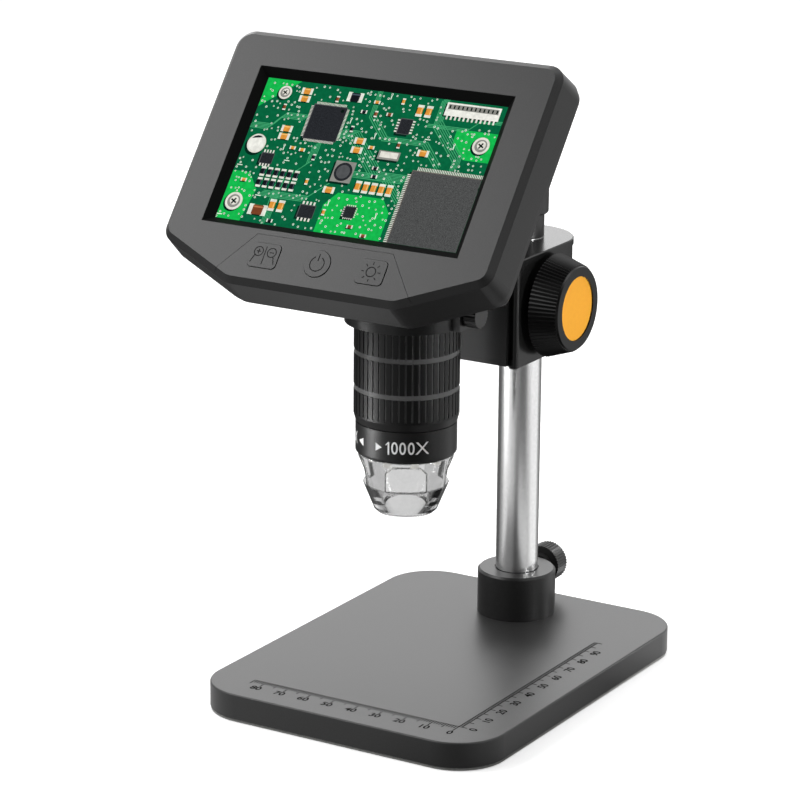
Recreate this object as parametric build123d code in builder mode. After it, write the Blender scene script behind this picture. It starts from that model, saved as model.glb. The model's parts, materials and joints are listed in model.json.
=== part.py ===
"""LCD digital microscope on a rack-and-pinion stand.

Millimetres, +Z up.  The origin is the centre of the base's underside, +X points to the
right of somebody who reads the screen, and +Y points away from them.
"""
import os
from math import cos, radians, sin, sqrt, tan

from build123d import *

os.makedirs("parts", exist_ok=True)

# ------------------------------------------------------------------ clearances
running_gap = 0.05      # radial play of a shaft that turns or slides in its bore
slide_gap = 0.15        # play beside a flat sliding face
seat_gap = 0.05         # play around a piece that is glued or screwed in place
moving_gap = 0.3        # space between pieces that pass each other

# ------------------------------------------------------------------ base
base_width = 119.0
base_depth = 157.6
base_corner_radius = 18.5
pad_thickness = 1.1
pad_inset = 0.3
plate_thickness = 9.2
plate_edge_round = 0.6
base_top = pad_thickness + plate_thickness

# ------------------------------------------------------------------ pole and its socket
pole_y = 54.0
pole_diameter = 16.0
pole_wall = 1.5
pole_length = 144.0
collar_diameter = 29.6
collar_height = 17.3
collar_floor = 3.0
collar_edge = 0.8
collar_mouth = 0.4
pole_radius = pole_diameter / 2
pole_bore = pole_radius + running_gap
pole_bottom = base_top + collar_floor
pole_top = pole_bottom + pole_length

collar_screw_radius = 2.0
collar_screw_head = 3.8
collar_screw_socket = 1.2
collar_screw_length = 14.0
collar_screw_count = 3
collar_screw_circle = (pole_bore + collar_diameter / 2) / 2

cap_neck_height = 8.6
cap_head_radius = 9.54
cap_head_height = 15.0
cap_head_round = 1.2
cap_plug_length = 10.0

# ------------------------------------------------------------------ thumbscrews on the pole
thumb_radius = 7.5
thumb_length = 7.5
thumb_hub_radius = 4.5
thumb_hub_length = 2.6
thumb_shank_radius = 2.45
thumb_rib_count = 40
thumb_rib_depth = 0.35
thumb_edge = 0.5
thumb_screw_rise = 12.5     # height of the collar's thumbscrew above the base plate
thumb_stand_off = 2.2       # bare thread between the collar and the thumbscrew's hub
thumb_point_gap = 0.15      # from the screw's point to the pole

# ------------------------------------------------------------------ focusing carriage
carriage_half_width = 18.6
carriage_reach = 36.5       # from the pole's axis to the carriage's front
carriage_front = pole_y - carriage_reach
carriage_height = 38.1
carriage_cover_height = 2.5
carriage_cover_lip = 0.4
carriage_corner_round = 2.0
carriage_drop = 0.2         # the carriage's top lies this far below the pole's end
carriage_top = pole_top - carriage_drop
carriage_cover_bottom = carriage_top - carriage_cover_height
carriage_bottom = carriage_cover_bottom - carriage_height
side_groove_width = 1.8
side_groove_depth = 2.0
side_groove_end = 3.5

# ------------------------------------------------------------------ rack and pinion
gear_module = 1.0
pinion_teeth = 9
pinion_half_width = 3.5
tooth_flank_angle = 20.0
tooth_addendum = 0.75
tooth_dedendum = 1.1
tooth_backlash = 0.42       # taken off the thickness of each tooth
gear_pitch = 3.141592653589793 * gear_module
pinion_pitch_radius = gear_module * pinion_teeth / 2
pinion_outer_radius = pinion_pitch_radius + tooth_addendum
pinion_root_radius = pinion_pitch_radius - tooth_dedendum
shaft_radius = 3.0
shaft_wall = 1.5            # between the pole's bore and the shaft's
shaft_rise = 20.3           # shaft's axis above the carriage's lower face
shaft_bore = pinion_outer_radius + moving_gap
shaft_y = pole_y - pole_bore - shaft_wall - shaft_bore
shaft_z = carriage_bottom + shaft_rise
bush_inner_end = pinion_half_width + moving_gap
rack_pitch_y = shaft_y - pinion_pitch_radius
rack_tip_y = rack_pitch_y + tooth_addendum
rack_root_y = rack_pitch_y - tooth_dedendum
rack_back = 2.0
rack_back_y = rack_root_y - rack_back
rack_half_width = 3.0

# ------------------------------------------------------------------ focusing knobs
knob_hub_radius = 7.0
knob_hub_length = 2.8
knob_rear_radius = 19.2
knob_front_radius = 16.1
knob_rim_radius = 15.3
knob_rib_length = 9.4
knob_rim_length = 0.8
knob_rib_count = 76
knob_rib_depth = 0.55
knob_insert_radius = 11.85
knob_insert_thickness = 0.8
knob_insert_recess = 0.6
knob_screw_radius = 1.5
knob_screw_head = 2.8
knob_screw_head_height = 2.0
knob_screw_length = 6.0
knob_web = 0.8              # between the shaft's end and the screw head's seat
knob_start = carriage_half_width + moving_gap
knob_rib_start = knob_start + knob_hub_length
knob_rib_end = knob_rib_start + knob_rib_length
knob_face = knob_rib_end + knob_rim_length
knob_insert_floor = knob_face - knob_insert_recess - knob_insert_thickness
knob_screw_seat = knob_insert_floor - knob_screw_head_height
shaft_end = knob_screw_seat - knob_web

# ------------------------------------------------------------------ slide
slide_half_width = 15.1
slide_proud = 1.5           # how far the slide stands out of the carriage's front
slide_plate_depth = 4.3
slide_height = 39.0
slide_lift = 1.2            # the slide's lower end above the carriage's
dovetail_neck = 7.5
dovetail_foot = 10.0
dovetail_depth = 6.0
slide_front = carriage_front - slide_proud
slide_plate_back = slide_front + slide_plate_depth
dovetail_back = slide_plate_back + dovetail_depth
slide_bottom = carriage_bottom + slide_lift

# ------------------------------------------------------------------ barrel
barrel_y = -28.5
core_radius = 16.2
core_wall = 2.7
core_neck_length = 6.8
neck_step = 2.8             # neck's outer radius over the core's
neck_wall = 2.0
neck_radius = core_radius + neck_step
ring_wall = 3.15
ring_height = 11.2
ring_rise = 26.7            # holder ring's lower face above the carriage's
neck_shoulder = 1.5
ring_bottom = carriage_bottom + ring_rise
ring_top = ring_bottom + ring_height
ring_bore = neck_radius + running_gap
ring_radius = ring_bore + ring_wall
ring_middle = ring_bottom + ring_height / 2

arm_half_width = 6.5
arm_foot_thickness = 3.0
arm_screw_radius = 1.5
arm_screw_head = 2.6
arm_screw_length = 6.0
arm_screw_gap = 0.9         # from the arm's side to the screw's head
arm_foot_margin = 0.4       # from the head to the foot's end
arm_screw_spread = arm_half_width + arm_screw_gap + arm_screw_head
arm_foot_half_width = arm_screw_spread + arm_screw_head + arm_foot_margin

clamp_boss_length = 2.4
clamp_boss_half_width = 5.5
clamp_knob_radius = 4.6
clamp_knob_length = 4.8
clamp_knob_ribs = 24
clamp_knob_rib_depth = 0.3
clamp_shank_radius = 2.0
clamp_point_gap = 1.2       # the ring clamp is screwed back, clear of the neck
clamp_boss_reach = ring_radius + clamp_boss_length
clamp_start = clamp_boss_reach + 2 * moving_gap

focus_ring_wall = 2.64
focus_ring_height = 35.8
focus_taper_height = 2.6
focus_taper_depth = 0.7
grip_rib_count = 48
grip_groove_width = 0.75
grip_groove_depth = 0.35
grip_groove_end = 3.4       # smooth length below the grip's ribs
grip_band_height = 1.85
grip_band_drops = (9.25, 22.4)     # from the ring's top to the upper edge of each band
focus_ring_top = ring_bottom - moving_gap
focus_ring_bottom = focus_ring_top - focus_ring_height
focus_ring_radius = core_radius + focus_ring_wall
focus_ring_bore = core_radius + running_gap

mark_ring_wall = 1.92
mark_ring_height = 11.6
mark_ring_round = 1.2
mark_ring_radius = core_radius + mark_ring_wall
mark_ring_top = focus_ring_bottom - moving_gap
mark_ring_bottom = mark_ring_top - mark_ring_height

# ------------------------------------------------------------------ clear cap and lights
cap_height = 22.0
cap_setback = 0.82          # cap's upper edge inside the ring's
cap_waist_step = 2.0
cap_foot_radius = 11.4
cap_waist_rise = 10.6
cap_foot_rise = 1.1
cap_tip_radius = 10.2
cap_wall = 1.6
cap_mouth_radius = 8.2
cap_window_count = 4
cap_window_width = 14.0
cap_window_margin = 1.8     # from a window's top to the cap's upper edge
cap_window_corner = 2.6
cap_window_turn = 31.0
cap_top_radius = mark_ring_radius - cap_setback
cap_waist_radius = cap_top_radius - cap_waist_step
cap_window_height = cap_height - cap_waist_rise - cap_window_margin
cap_bottom = mark_ring_bottom - cap_height

led_board_thickness = 1.2
led_board_bore = 8.5
led_count = 8
led_radius = 1.5
led_length = 4.0
led_circle = 12.4
led_board_rise = 0.6        # lights' board above the ring's lower edge
core_bottom = mark_ring_bottom + led_board_rise + led_board_thickness

# ------------------------------------------------------------------ lens carrier
carrier_height = 16.0
carrier_rise = 15.0
carrier_radius = core_radius - core_wall - running_gap
carrier_travel = 5.0
pin_radius = 1.0
pin_proud = 1.0             # drive pin's end outside the core
lens_radius = 9.0
lens_edge = 2.4
lens_bulge = 1.2
lens_ledge = 0.55           # carrier's inner edge that the lens lies against
retainer_height = 2.0
retainer_wall = 2.0
pin_reach = core_radius + pin_proud
pin_relief_radius = pin_reach + moving_gap
carrier_bore = lens_radius - lens_ledge
carrier_bottom = core_bottom + carrier_rise
carrier_top = carrier_bottom + carrier_height
carrier_middle = (carrier_bottom + carrier_top) / 2

# ------------------------------------------------------------------ image sensor
sensor_board_gap = 0.6      # from the board's edge to the core's wall
sensor_board_thickness = 1.2
sensor_size = 8.0
sensor_thickness = 1.3
sensor_drop = 2.0
sensor_board_radius = core_radius - core_wall - sensor_board_gap
sensor_board_bottom = ring_bottom + core_neck_length - sensor_drop

# ------------------------------------------------------------------ display head
screen_tilt = 38.0
screen_forward = 34.3       # front face's middle ahead of the barrel's axis
screen_rise = 63.8          # front face's middle above the holder ring's lower face
screen_width = 95.7
screen_height = 54.9
frame_width = 3.0           # black frame about the picture
border_side = 12.25         # casing beside the frame
border_top = 11.65
border_bottom = 9.1         # casing below the middle of the buttons
button_drop = 9.45          # from the frame's lower edge to the middle of the buttons
recess_width = screen_width + 2 * frame_width
recess_height = screen_height + 2 * frame_width
button_line = recess_height / 2 + button_drop

head_half_width = recess_width / 2 + border_side
head_top = recess_height / 2 + border_top
head_bottom = button_line + border_bottom
head_cut_width = 30.1       # slanted lower corner, across
head_cut_height = 13.0      # and up
head_cut_x = head_half_width - head_cut_width
head_cut_y = head_bottom - head_cut_height
head_top_round = 4.5
head_side_round = 4.0
head_bottom_round = 8.0
head_chamfer = 2.1
head_flare = 0.8
head_wall = 2.0
front_wall = 2.6
lcd_gap = 0.2               # from the front wall to the glass
screen_depth = front_wall + lcd_gap
bezel_depth = 13.3
seam_gap = 0.35
cover_inset = 0.5
cover_rim = 2.5
cover_depth = 10.4
cover_slope = 32.0
bezel_taper = 4.1

panel_gap = 1.85            # from the frame's lower edge to the button panel
panel_slant = 37.93         # panel's sides, in degrees from the upright
panel_top = recess_height / 2 + panel_gap
panel_thickness = 1.6
panel_seam = 0.12
button_side_x = 21.2
zoom_size = 11.2
panel_half_top = button_side_x + zoom_size / 2
light_size = 10.5
button_height = 9.0
button_corner = 1.6
power_radius = 4.9
button_gap = 0.2
button_proud = 0.3
flange_width = 0.8
flange_thickness = 0.8
flange_gap = 0.1
rocker_flange_gap = 0.5
trunnion_radius = 0.45
trunnion_reach = 1.5

lcd_side_lap = 1.9          # glass behind the casing, at its sides
lcd_end_lap = 3.15          # and above and below
lcd_width = recess_width + 2 * lcd_side_lap
lcd_height = recess_height + 2 * lcd_end_lap
lcd_thickness = 2.9
frame_edge = 0.1
board_gap = 3.3
board_side_gap = 2.1        # board's edges in from the head's front outline
board_top_gap = 16.1
board_bottom_gap = 12.0
board_half_width = head_half_width - board_side_gap
board_top = head_top - board_top_gap
board_bottom = head_cut_y - board_bottom_gap
board_thickness = 1.2
board_post_radius = 1.6
board_post_inset = 3.5
board_post_drops = (6.0, 28.0)     # below the board's upper edge
board_post_x = board_half_width - board_post_inset
battery_width = 52.0
battery_height = 36.0
battery_thickness = 6.0
battery_gap = 3.5           # from the sensor's ribbon to the battery
battery_y = -4.0
jack_width = 8.9
jack_depth = 7.4
jack_height = 3.0
jack_wall = 0.4
jack_corner = 0.8
jack_y = 8.0
jack_proud = 1.3            # the jack's mouth outside the head's front outline
jack_start = head_half_width + jack_proud
card_slot_width = 14.0
card_slot_depth = 14.5
card_slot_height = 1.6
card_slot_wall = 0.3
card_slot_y = -14.0
card_slot_inset = 1.1
card_slot_start = head_half_width - card_slot_inset
port_gap = 0.3
chip_heights = (1.2, 1.0, 2.2, 0.9, 1.6)
chip_sizes = ((14.0, 14.0), (10.0, 8.0), (12.0, 5.0), (5.0, 5.0), (6.0, 9.0))
# places of the chips: in from the board's nearer side edge, and up from its middle
chip_insets = (-21.0, -23.0, 41.0, 19.0, -7.0)
chip_rises = (3.0, -15.0, 19.5, 19.5, -13.0)

button_board_thickness = 1.2
button_board_side = 11.3    # board's end outside the outer buttons' middle
button_board_drop = 5.8     # board's lower edge below the buttons' middle
button_board_gap = 0.5      # from the glass to the board's upper edge
button_board_half_width = button_side_x + button_board_side
button_board_top = lcd_height / 2 + button_board_gap
button_board_bottom = button_line + button_board_drop
button_post_radius = 1.2
zoom_key_spread = 4.0
switch_size = 4.5
switch_height = 1.4
plunger_radius = 1.2
plunger_height = 0.6
switch_gap = 0.8

case_post_radius = 2.3
case_post_side_inset = 7.5  # posts in from the head's front outline
case_post_inset = 8.1
case_post_x = head_half_width - case_post_side_inset
case_post_top = head_top - case_post_inset
case_post_bottom = head_cut_y - case_post_inset
case_screw_radius = 1.2
case_screw_head = 2.2
case_screw_head_height = 1.6
case_screw_socket = 1.1
case_screw_length = 12.0
neck_roof_drop = 12.1       # the neck's roof below the head's top, along the display's back
neck_roof = head_top - neck_roof_drop
neck_roof_round = 4.0
neck_shoulder_height = 3.0
ribbon_width = 8.0
ribbon_thickness = 0.3
ribbon_bend = 1.0
sensor_ribbon_x = -7.0
sensor_ribbon_reach = 5.0   # along the sensor's board, ahead of the barrel's axis
sensor_ribbon_t = 13.5      # where that ribbon enters the head, up the display's face
screen_ribbon_x = -20.0
screen_ribbon_loop = 3.5
button_ribbon_x = 8.0

head_origin = Vector(0, barrel_y - screen_forward, ring_bottom + screen_rise)
head_up = Vector(0, sin(radians(screen_tilt)), cos(radians(screen_tilt)))
head_out = Vector(0, -cos(radians(screen_tilt)), sin(radians(screen_tilt)))
head_face = Plane(origin=head_origin, x_dir=(1, 0, 0), z_dir=head_out)
cover_front = bezel_depth + seam_gap
cover_back = cover_front + cover_depth
lcd_back = screen_depth + lcd_thickness
board_front = lcd_back + board_gap
board_back = board_front + board_thickness


def knurl_points(radius, depth, ribs):
    """Corners of a knurled circle: a ridge and a valley for each rib."""
    points = []
    for step in range(2 * ribs):
        reach = radius - depth * (step % 2)
        turn = radians(180 * step / ribs)
        points.append((reach * cos(turn), reach * sin(turn)))
    return points


def head_outline(grow):
    """Outline of the display head, grown evenly by grow, on the current sketch."""
    with BuildSketch(mode=Mode.PRIVATE) as outline:
        Polygon(
            (-head_half_width, head_top),
            (-head_half_width, -head_cut_y),
            (-head_cut_x, -head_bottom),
            (head_cut_x, -head_bottom),
            (head_half_width, -head_cut_y),
            (head_half_width, head_top),
        )
        corners = outline.vertices()
        fillet(corners.group_by(Axis.Y)[-1], head_top_round)
        fillet(outline.vertices().group_by(Axis.Y)[0], head_bottom_round)
        sides = outline.vertices().filter_by(lambda v: abs(v.Y + head_cut_y) < 0.01)
        fillet(sides, head_side_round)
        offset(amount=grow)
    return outline.sketch


def slide_section(gap):
    """Plan section of the slide's plate and dovetail, grown by gap on its guided faces."""
    with Locations((0, slide_front - gap)):
        Rectangle(
            2 * (slide_half_width + gap),
            slide_plate_depth + 2 * gap,
            align=(Align.CENTER, Align.MIN),
        )
    Polygon(
        (-dovetail_neck - gap, slide_plate_back),
        (dovetail_neck + gap, slide_plate_back),
        (dovetail_foot + gap, dovetail_back + gap),
        (-dovetail_foot - gap, dovetail_back + gap),
    )


# ================================================================== base
with BuildPart() as base_pad:
    with BuildSketch():
        RectangleRounded(
            base_width - 2 * pad_inset,
            base_depth - 2 * pad_inset,
            base_corner_radius - pad_inset,
        )
    extrude(amount=pad_thickness)

screw_plane = Plane((0, pole_y, pad_thickness), x_dir=(1, 0, 0), z_dir=(0, 0, -1))
with BuildPart() as base_plate:
    with BuildSketch(Plane.XY.offset(pad_thickness)):
        RectangleRounded(base_width, base_depth, base_corner_radius)
    extrude(amount=plate_thickness)
    fillet(base_plate.edges().group_by(Axis.Z)[-1], plate_edge_round)
    with Locations(screw_plane):
        with PolarLocations(collar_screw_circle, collar_screw_count):
            CounterSinkHole(
                collar_screw_radius + seat_gap,
                collar_screw_head + seat_gap,
                depth=plate_thickness,
                counter_sink_angle=90,
            )

# The collar is a cup: its floor carries the pole's end.
with BuildPart() as collar:
    with BuildSketch(Plane.XY.offset(base_top)):
        with Locations((0, pole_y)):
            Circle(collar_diameter / 2)
    extrude(amount=collar_height)
    chamfer(collar.edges().group_by(Axis.Z)[-1], collar_edge)
    with Locations((0, pole_y, base_top + collar_height)):
        CounterBoreHole(
            pole_bore,
            pole_bore + collar_mouth,
            collar_mouth,
            depth=collar_height - collar_floor,
        )
    thumb_z = base_top + thumb_screw_rise
    with Locations(Plane((0, pole_y + collar_diameter / 2, thumb_z), z_dir=(0, 1, 0))):
        Hole(thumb_shank_radius + running_gap, depth=collar_diameter / 2)
    with Locations(screw_plane.offset(-plate_thickness)):
        with PolarLocations(collar_screw_circle, collar_screw_count):
            Hole(collar_screw_radius + seat_gap, depth=collar_screw_length - plate_thickness)

# Countersunk screws that hold the collar from below.
with BuildPart() as collar_screws:
    with Locations(screw_plane):
        with PolarLocations(collar_screw_circle, collar_screw_count):
            Cone(
                collar_screw_radius,
                collar_screw_head,
                collar_screw_head - collar_screw_radius,
                align=(Align.CENTER, Align.CENTER, Align.MAX),
            )
            Cylinder(
                collar_screw_radius,
                collar_screw_length - seat_gap,
                align=(Align.CENTER, Align.CENTER, Align.MAX),
            )
            Cylinder(
                collar_screw_socket,
                collar_screw_socket,
                align=(Align.CENTER, Align.CENTER, Align.MAX),
                mode=Mode.SUBTRACT,
            )


def thumbscrew(plane, shank_length):
    """Knurled thumbscrew. The plane lies on its hub's inner face and points outwards."""
    with BuildPart() as screw:
        with BuildSketch(plane):
            Circle(thumb_hub_radius)
        extrude(amount=thumb_hub_length)
        with BuildSketch(plane):
            Circle(thumb_shank_radius)
        extrude(amount=-shank_length)
        with BuildSketch(plane.offset(thumb_hub_length)):
            Polygon(*knurl_points(thumb_radius, thumb_rib_depth, thumb_rib_count))
        extrude(amount=thumb_length)
        with BuildSketch(plane.offset(thumb_hub_length + thumb_length - thumb_edge)):
            Circle(thumb_radius + thumb_edge)
            Circle(thumb_radius - 2 * thumb_edge, mode=Mode.SUBTRACT)
        extrude(amount=thumb_edge, taper=-45, mode=Mode.SUBTRACT)
    return screw


collar_back = pole_y + collar_diameter / 2
base_thumbscrew = thumbscrew(
    Plane((0, collar_back + thumb_stand_off, thumb_z), x_dir=(1, 0, 0), z_dir=(0, 1, 0)),
    collar_back + thumb_stand_off - pole_y - pole_radius - thumb_point_gap,
)

# ================================================================== pole
with BuildPart() as pole:
    with BuildSketch(Plane.XY.offset(pole_bottom)):
        with Locations((0, pole_y)):
            Circle(pole_radius)
            Circle(pole_radius - pole_wall, mode=Mode.SUBTRACT)
    extrude(amount=pole_length)

with BuildPart() as pole_cap:
    with BuildSketch(Plane.XY.offset(pole_top)):
        with Locations((0, pole_y)):
            Circle(pole_radius)
    extrude(amount=cap_neck_height)
    with BuildSketch(Plane.XY.offset(pole_top + cap_neck_height)):
        with Locations((0, pole_y)):
            Circle(cap_head_radius)
    extrude(amount=cap_head_height)
    head_rims = pole_cap.edges().filter_by(GeomType.CIRCLE).group_by(SortBy.RADIUS)[-1]
    fillet(head_rims, cap_head_round)
    with BuildSketch(Plane.XY.offset(pole_top)):
        with Locations((0, pole_y)):
            Circle(pole_radius - pole_wall - seat_gap)
    extrude(amount=-cap_plug_length)

# ================================================================== focusing carriage
side_hole_plane = Plane((carriage_half_width, shaft_y, shaft_z), z_dir=(1, 0, 0))
pole_screw_z = carriage_bottom + carriage_height / 2
carriage_back = pole_y + carriage_half_width


def carriage_plan(half_width, front):
    """Plan of the carriage: square at the front, round about the pole at the back."""
    with Locations((0, pole_y)):
        Circle(half_width)
    with Locations((0, front)):
        Rectangle(2 * half_width, pole_y - front, align=(Align.CENTER, Align.MIN))


with BuildPart() as carriage_block:
    with BuildSketch(Plane.XY.offset(carriage_bottom)):
        carriage_plan(carriage_half_width, carriage_front)
    extrude(amount=carriage_height)
    uprights = carriage_block.edges().filter_by(Axis.Z).group_by(Axis.Y)[0]
    fillet(uprights, carriage_corner_round)
    chamfer(carriage_block.edges().group_by(Axis.Z)[0], plate_edge_round)
    # bore for the pole
    with Locations((0, pole_y, carriage_cover_bottom)):
        Hole(pole_bore, depth=carriage_height)
    # guide for the slide, open at both ends, with a clear slot for the rack behind it
    with BuildSketch(Plane.XY.offset(carriage_bottom)):
        slide_section(slide_gap)
        with Locations((0, dovetail_back)):
            Rectangle(
                2 * (rack_half_width + moving_gap),
                shaft_y - dovetail_back,
                align=(Align.CENTER, Align.MIN),
            )
    extrude(amount=carriage_height, mode=Mode.SUBTRACT)
    # shallow groove beside the slide, closed above and below
    with BuildSketch(Plane.XZ.offset(-carriage_front)):
        for side in (-1, 1):
            groove_x = side * (slide_half_width + slide_gap + side_groove_width / 2)
            with Locations((groove_x, carriage_bottom + carriage_height / 2)):
                Rectangle(side_groove_width, carriage_height - 2 * side_groove_end)
    extrude(amount=-side_groove_depth, mode=Mode.SUBTRACT)
    # cross bore for the pinion and its bushes
    with Locations(side_hole_plane):
        Hole(shaft_bore, depth=2 * carriage_half_width)
    # threaded hole for the screw that clamps the pole
    with Locations(Plane((0, carriage_back, pole_screw_z), z_dir=(0, 1, 0))):
        Hole(thumb_shank_radius + running_gap, depth=carriage_half_width)

with BuildPart() as carriage_cover:
    with BuildSketch(Plane.XY.offset(carriage_cover_bottom)):
        carriage_plan(carriage_half_width + carriage_cover_lip, carriage_front)
    extrude(amount=carriage_cover_height)
    uprights = carriage_cover.edges().filter_by(Axis.Z).group_by(Axis.Y)[0]
    fillet(uprights, carriage_corner_round)
    chamfer(carriage_cover.edges().group_by(Axis.Z)[-1], carriage_cover_lip)
    with Locations((0, pole_y, carriage_top)):
        Hole(pole_bore, depth=carriage_cover_height)
    with BuildSketch(Plane.XY.offset(carriage_cover_bottom)):
        slide_section(slide_gap)
        with Locations((0, dovetail_back)):
            Rectangle(
                2 * (rack_half_width + moving_gap),
                rack_tip_y + moving_gap - dovetail_back,
                align=(Align.CENTER, Align.MIN),
            )
    extrude(amount=carriage_cover_height, mode=Mode.SUBTRACT)

with BuildPart() as shaft_bushes:
    for side in (-1, 1):
        inner_end = Plane((side * bush_inner_end, shaft_y, shaft_z), z_dir=(side, 0, 0))
        with BuildSketch(inner_end):
            Circle(shaft_bore - seat_gap)
            Circle(shaft_radius + running_gap, mode=Mode.SUBTRACT)
        extrude(amount=carriage_half_width - bush_inner_end)

carriage_thumbscrew = thumbscrew(
    Plane((0, carriage_back + thumb_stand_off, pole_screw_z), x_dir=(1, 0, 0), z_dir=(0, 1, 0)),
    carriage_back + thumb_stand_off - pole_y - pole_radius - thumb_point_gap,
)

# ================================================================== focusing knobs
tooth_half = gear_pitch / 4 - tooth_backlash / 2
flank_slope = tan(radians(tooth_flank_angle))


def tooth_outline(tip, root):
    """Half widths of a straight-flanked tooth at its tip and at its root."""
    return tooth_half - tip * flank_slope, tooth_half + root * flank_slope


tooth_tip_half, tooth_foot_half = tooth_outline(tooth_addendum, tooth_dedendum)
with BuildPart() as pinion_shaft:
    with BuildSketch(Plane((0, shaft_y, shaft_z), x_dir=(0, 1, 0), z_dir=(1, 0, 0))):
        Circle(shaft_radius)
    extrude(amount=shaft_end - running_gap, both=True)
    with BuildSketch(Plane((0, shaft_y, shaft_z), x_dir=(0, 1, 0), z_dir=(1, 0, 0))):
        Circle(pinion_root_radius)
        # one tooth gap faces the rack
        with PolarLocations(0, pinion_teeth, start_angle=180 / pinion_teeth + 180):
            Polygon(
                (0, -tooth_foot_half),
                (pinion_root_radius, -tooth_foot_half),
                (pinion_outer_radius, -tooth_tip_half),
                (pinion_outer_radius, tooth_tip_half),
                (pinion_root_radius, tooth_foot_half),
                (0, tooth_foot_half),
            )
    extrude(amount=pinion_half_width, both=True)
    for side in (-1, 1):
        with Locations(Plane((side * shaft_end, shaft_y, shaft_z), z_dir=(side, 0, 0))):
            Hole(knob_screw_radius + seat_gap, depth=knob_screw_length)


knob_plane = Plane((knob_start, shaft_y, shaft_z), x_dir=(0, 1, 0), z_dir=(1, 0, 0))
knob_profile = Plane((0, shaft_y, shaft_z), x_dir=(1, 0, 0), z_dir=(0, -1, 0))
knob_axis = Axis((0, shaft_y, shaft_z), (1, 0, 0))
with BuildPart() as focus_knob_right:
    # knurled, slightly conical grip
    with BuildSketch(knob_plane.offset(knob_hub_length)):
        Polygon(*knurl_points(knob_rear_radius, knob_rib_depth, knob_rib_count))
    with BuildSketch(knob_plane.offset(knob_hub_length + knob_rib_length)):
        Polygon(*knurl_points(knob_front_radius, knob_rib_depth, knob_rib_count))
    loft(ruled=True, clean=False)
    # bore for the shaft, way for the screw and recess for the coloured disc
    with BuildSketch(knob_profile):
        Polygon(
            (knob_start, 0),
            (knob_start, shaft_radius + seat_gap),
            (shaft_end, shaft_radius + seat_gap),
            (shaft_end, knob_screw_radius + seat_gap),
            (knob_screw_seat, knob_screw_radius + seat_gap),
            (knob_screw_seat, knob_screw_head + seat_gap),
            (knob_insert_floor, knob_screw_head + seat_gap),
            (knob_insert_floor, knob_insert_radius + seat_gap),
            (knob_face, knob_insert_radius + seat_gap),
            (knob_face, 0),
        )
    revolve(axis=knob_axis, mode=Mode.SUBTRACT, clean=False)
    # hub towards the carriage and smooth rim about the face
    with BuildSketch(knob_profile):
        with Locations((knob_start, shaft_radius + seat_gap)):
            Rectangle(
                knob_hub_length,
                knob_hub_radius - shaft_radius - seat_gap,
                align=(Align.MIN, Align.MIN),
            )
        Polygon(
            (knob_rib_end, knob_insert_radius + seat_gap),
            (knob_rib_end, knob_front_radius - knob_rib_depth),
            (knob_face, knob_rim_radius),
            (knob_face, knob_insert_radius + seat_gap),
        )
    revolve(axis=knob_axis, clean=False)

with BuildPart() as focus_knob_left:
    mirror(focus_knob_right.part, about=Plane.YZ)

# Coloured disc in the knob's face.
with BuildPart() as knob_insert_right:
    with BuildSketch(knob_plane.offset(knob_face - knob_start - knob_insert_recess)):
        Circle(knob_insert_radius)
    extrude(amount=-knob_insert_thickness)

with BuildPart() as knob_insert_left:
    mirror(knob_insert_right.part, about=Plane.YZ)

knob_screw_tip = shaft_end - knob_screw_length + moving_gap
with BuildPart() as knob_screws:
    for side in (-1, 1):
        top = Plane((side * knob_insert_floor, shaft_y, shaft_z), z_dir=(side, 0, 0))
        with BuildSketch(top):
            Circle(knob_screw_head)
        extrude(amount=-knob_screw_head_height)
        with BuildSketch(top):
            Circle(knob_screw_radius)
        extrude(amount=knob_screw_tip - knob_insert_floor)

# ================================================================== slide
with BuildPart() as slide_plate:
    with BuildSketch(Plane.XY.offset(slide_bottom)):
        slide_section(0)
        with Locations((0, dovetail_back)):
            Rectangle(
                2 * rack_half_width,
                rack_back_y - dovetail_back,
                align=(Align.CENTER, Align.MIN),
            )
    extrude(amount=slide_height)
    arm_screw_plane = Plane((0, slide_front, ring_middle), x_dir=(1, 0, 0), z_dir=(0, -1, 0))
    with Locations(arm_screw_plane):
        with GridLocations(2 * arm_screw_spread, 1, 2, 1):
            Hole(arm_screw_radius + seat_gap, depth=slide_plate_depth - moving_gap)

rack_teeth_up = int((slide_bottom + slide_height - shaft_z) / gear_pitch - 0.5)
rack_teeth_down = int((shaft_z - slide_bottom) / gear_pitch - 0.5)
with BuildPart() as rack:
    with BuildSketch(Plane.YZ):
        with Locations((rack_back_y, slide_bottom)):
            Rectangle(rack_back, slide_height, align=(Align.MIN, Align.MIN))
        # one tooth stands at the pinion's height
        for step in range(-rack_teeth_down, rack_teeth_up + 1):
            with Locations((rack_root_y, shaft_z + step * gear_pitch)):
                Polygon(
                    (0, -tooth_foot_half),
                    (rack_tip_y - rack_root_y, -tooth_tip_half),
                    (rack_tip_y - rack_root_y, tooth_tip_half),
                    (0, tooth_foot_half),
                )
    extrude(amount=rack_half_width, both=True)

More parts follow.
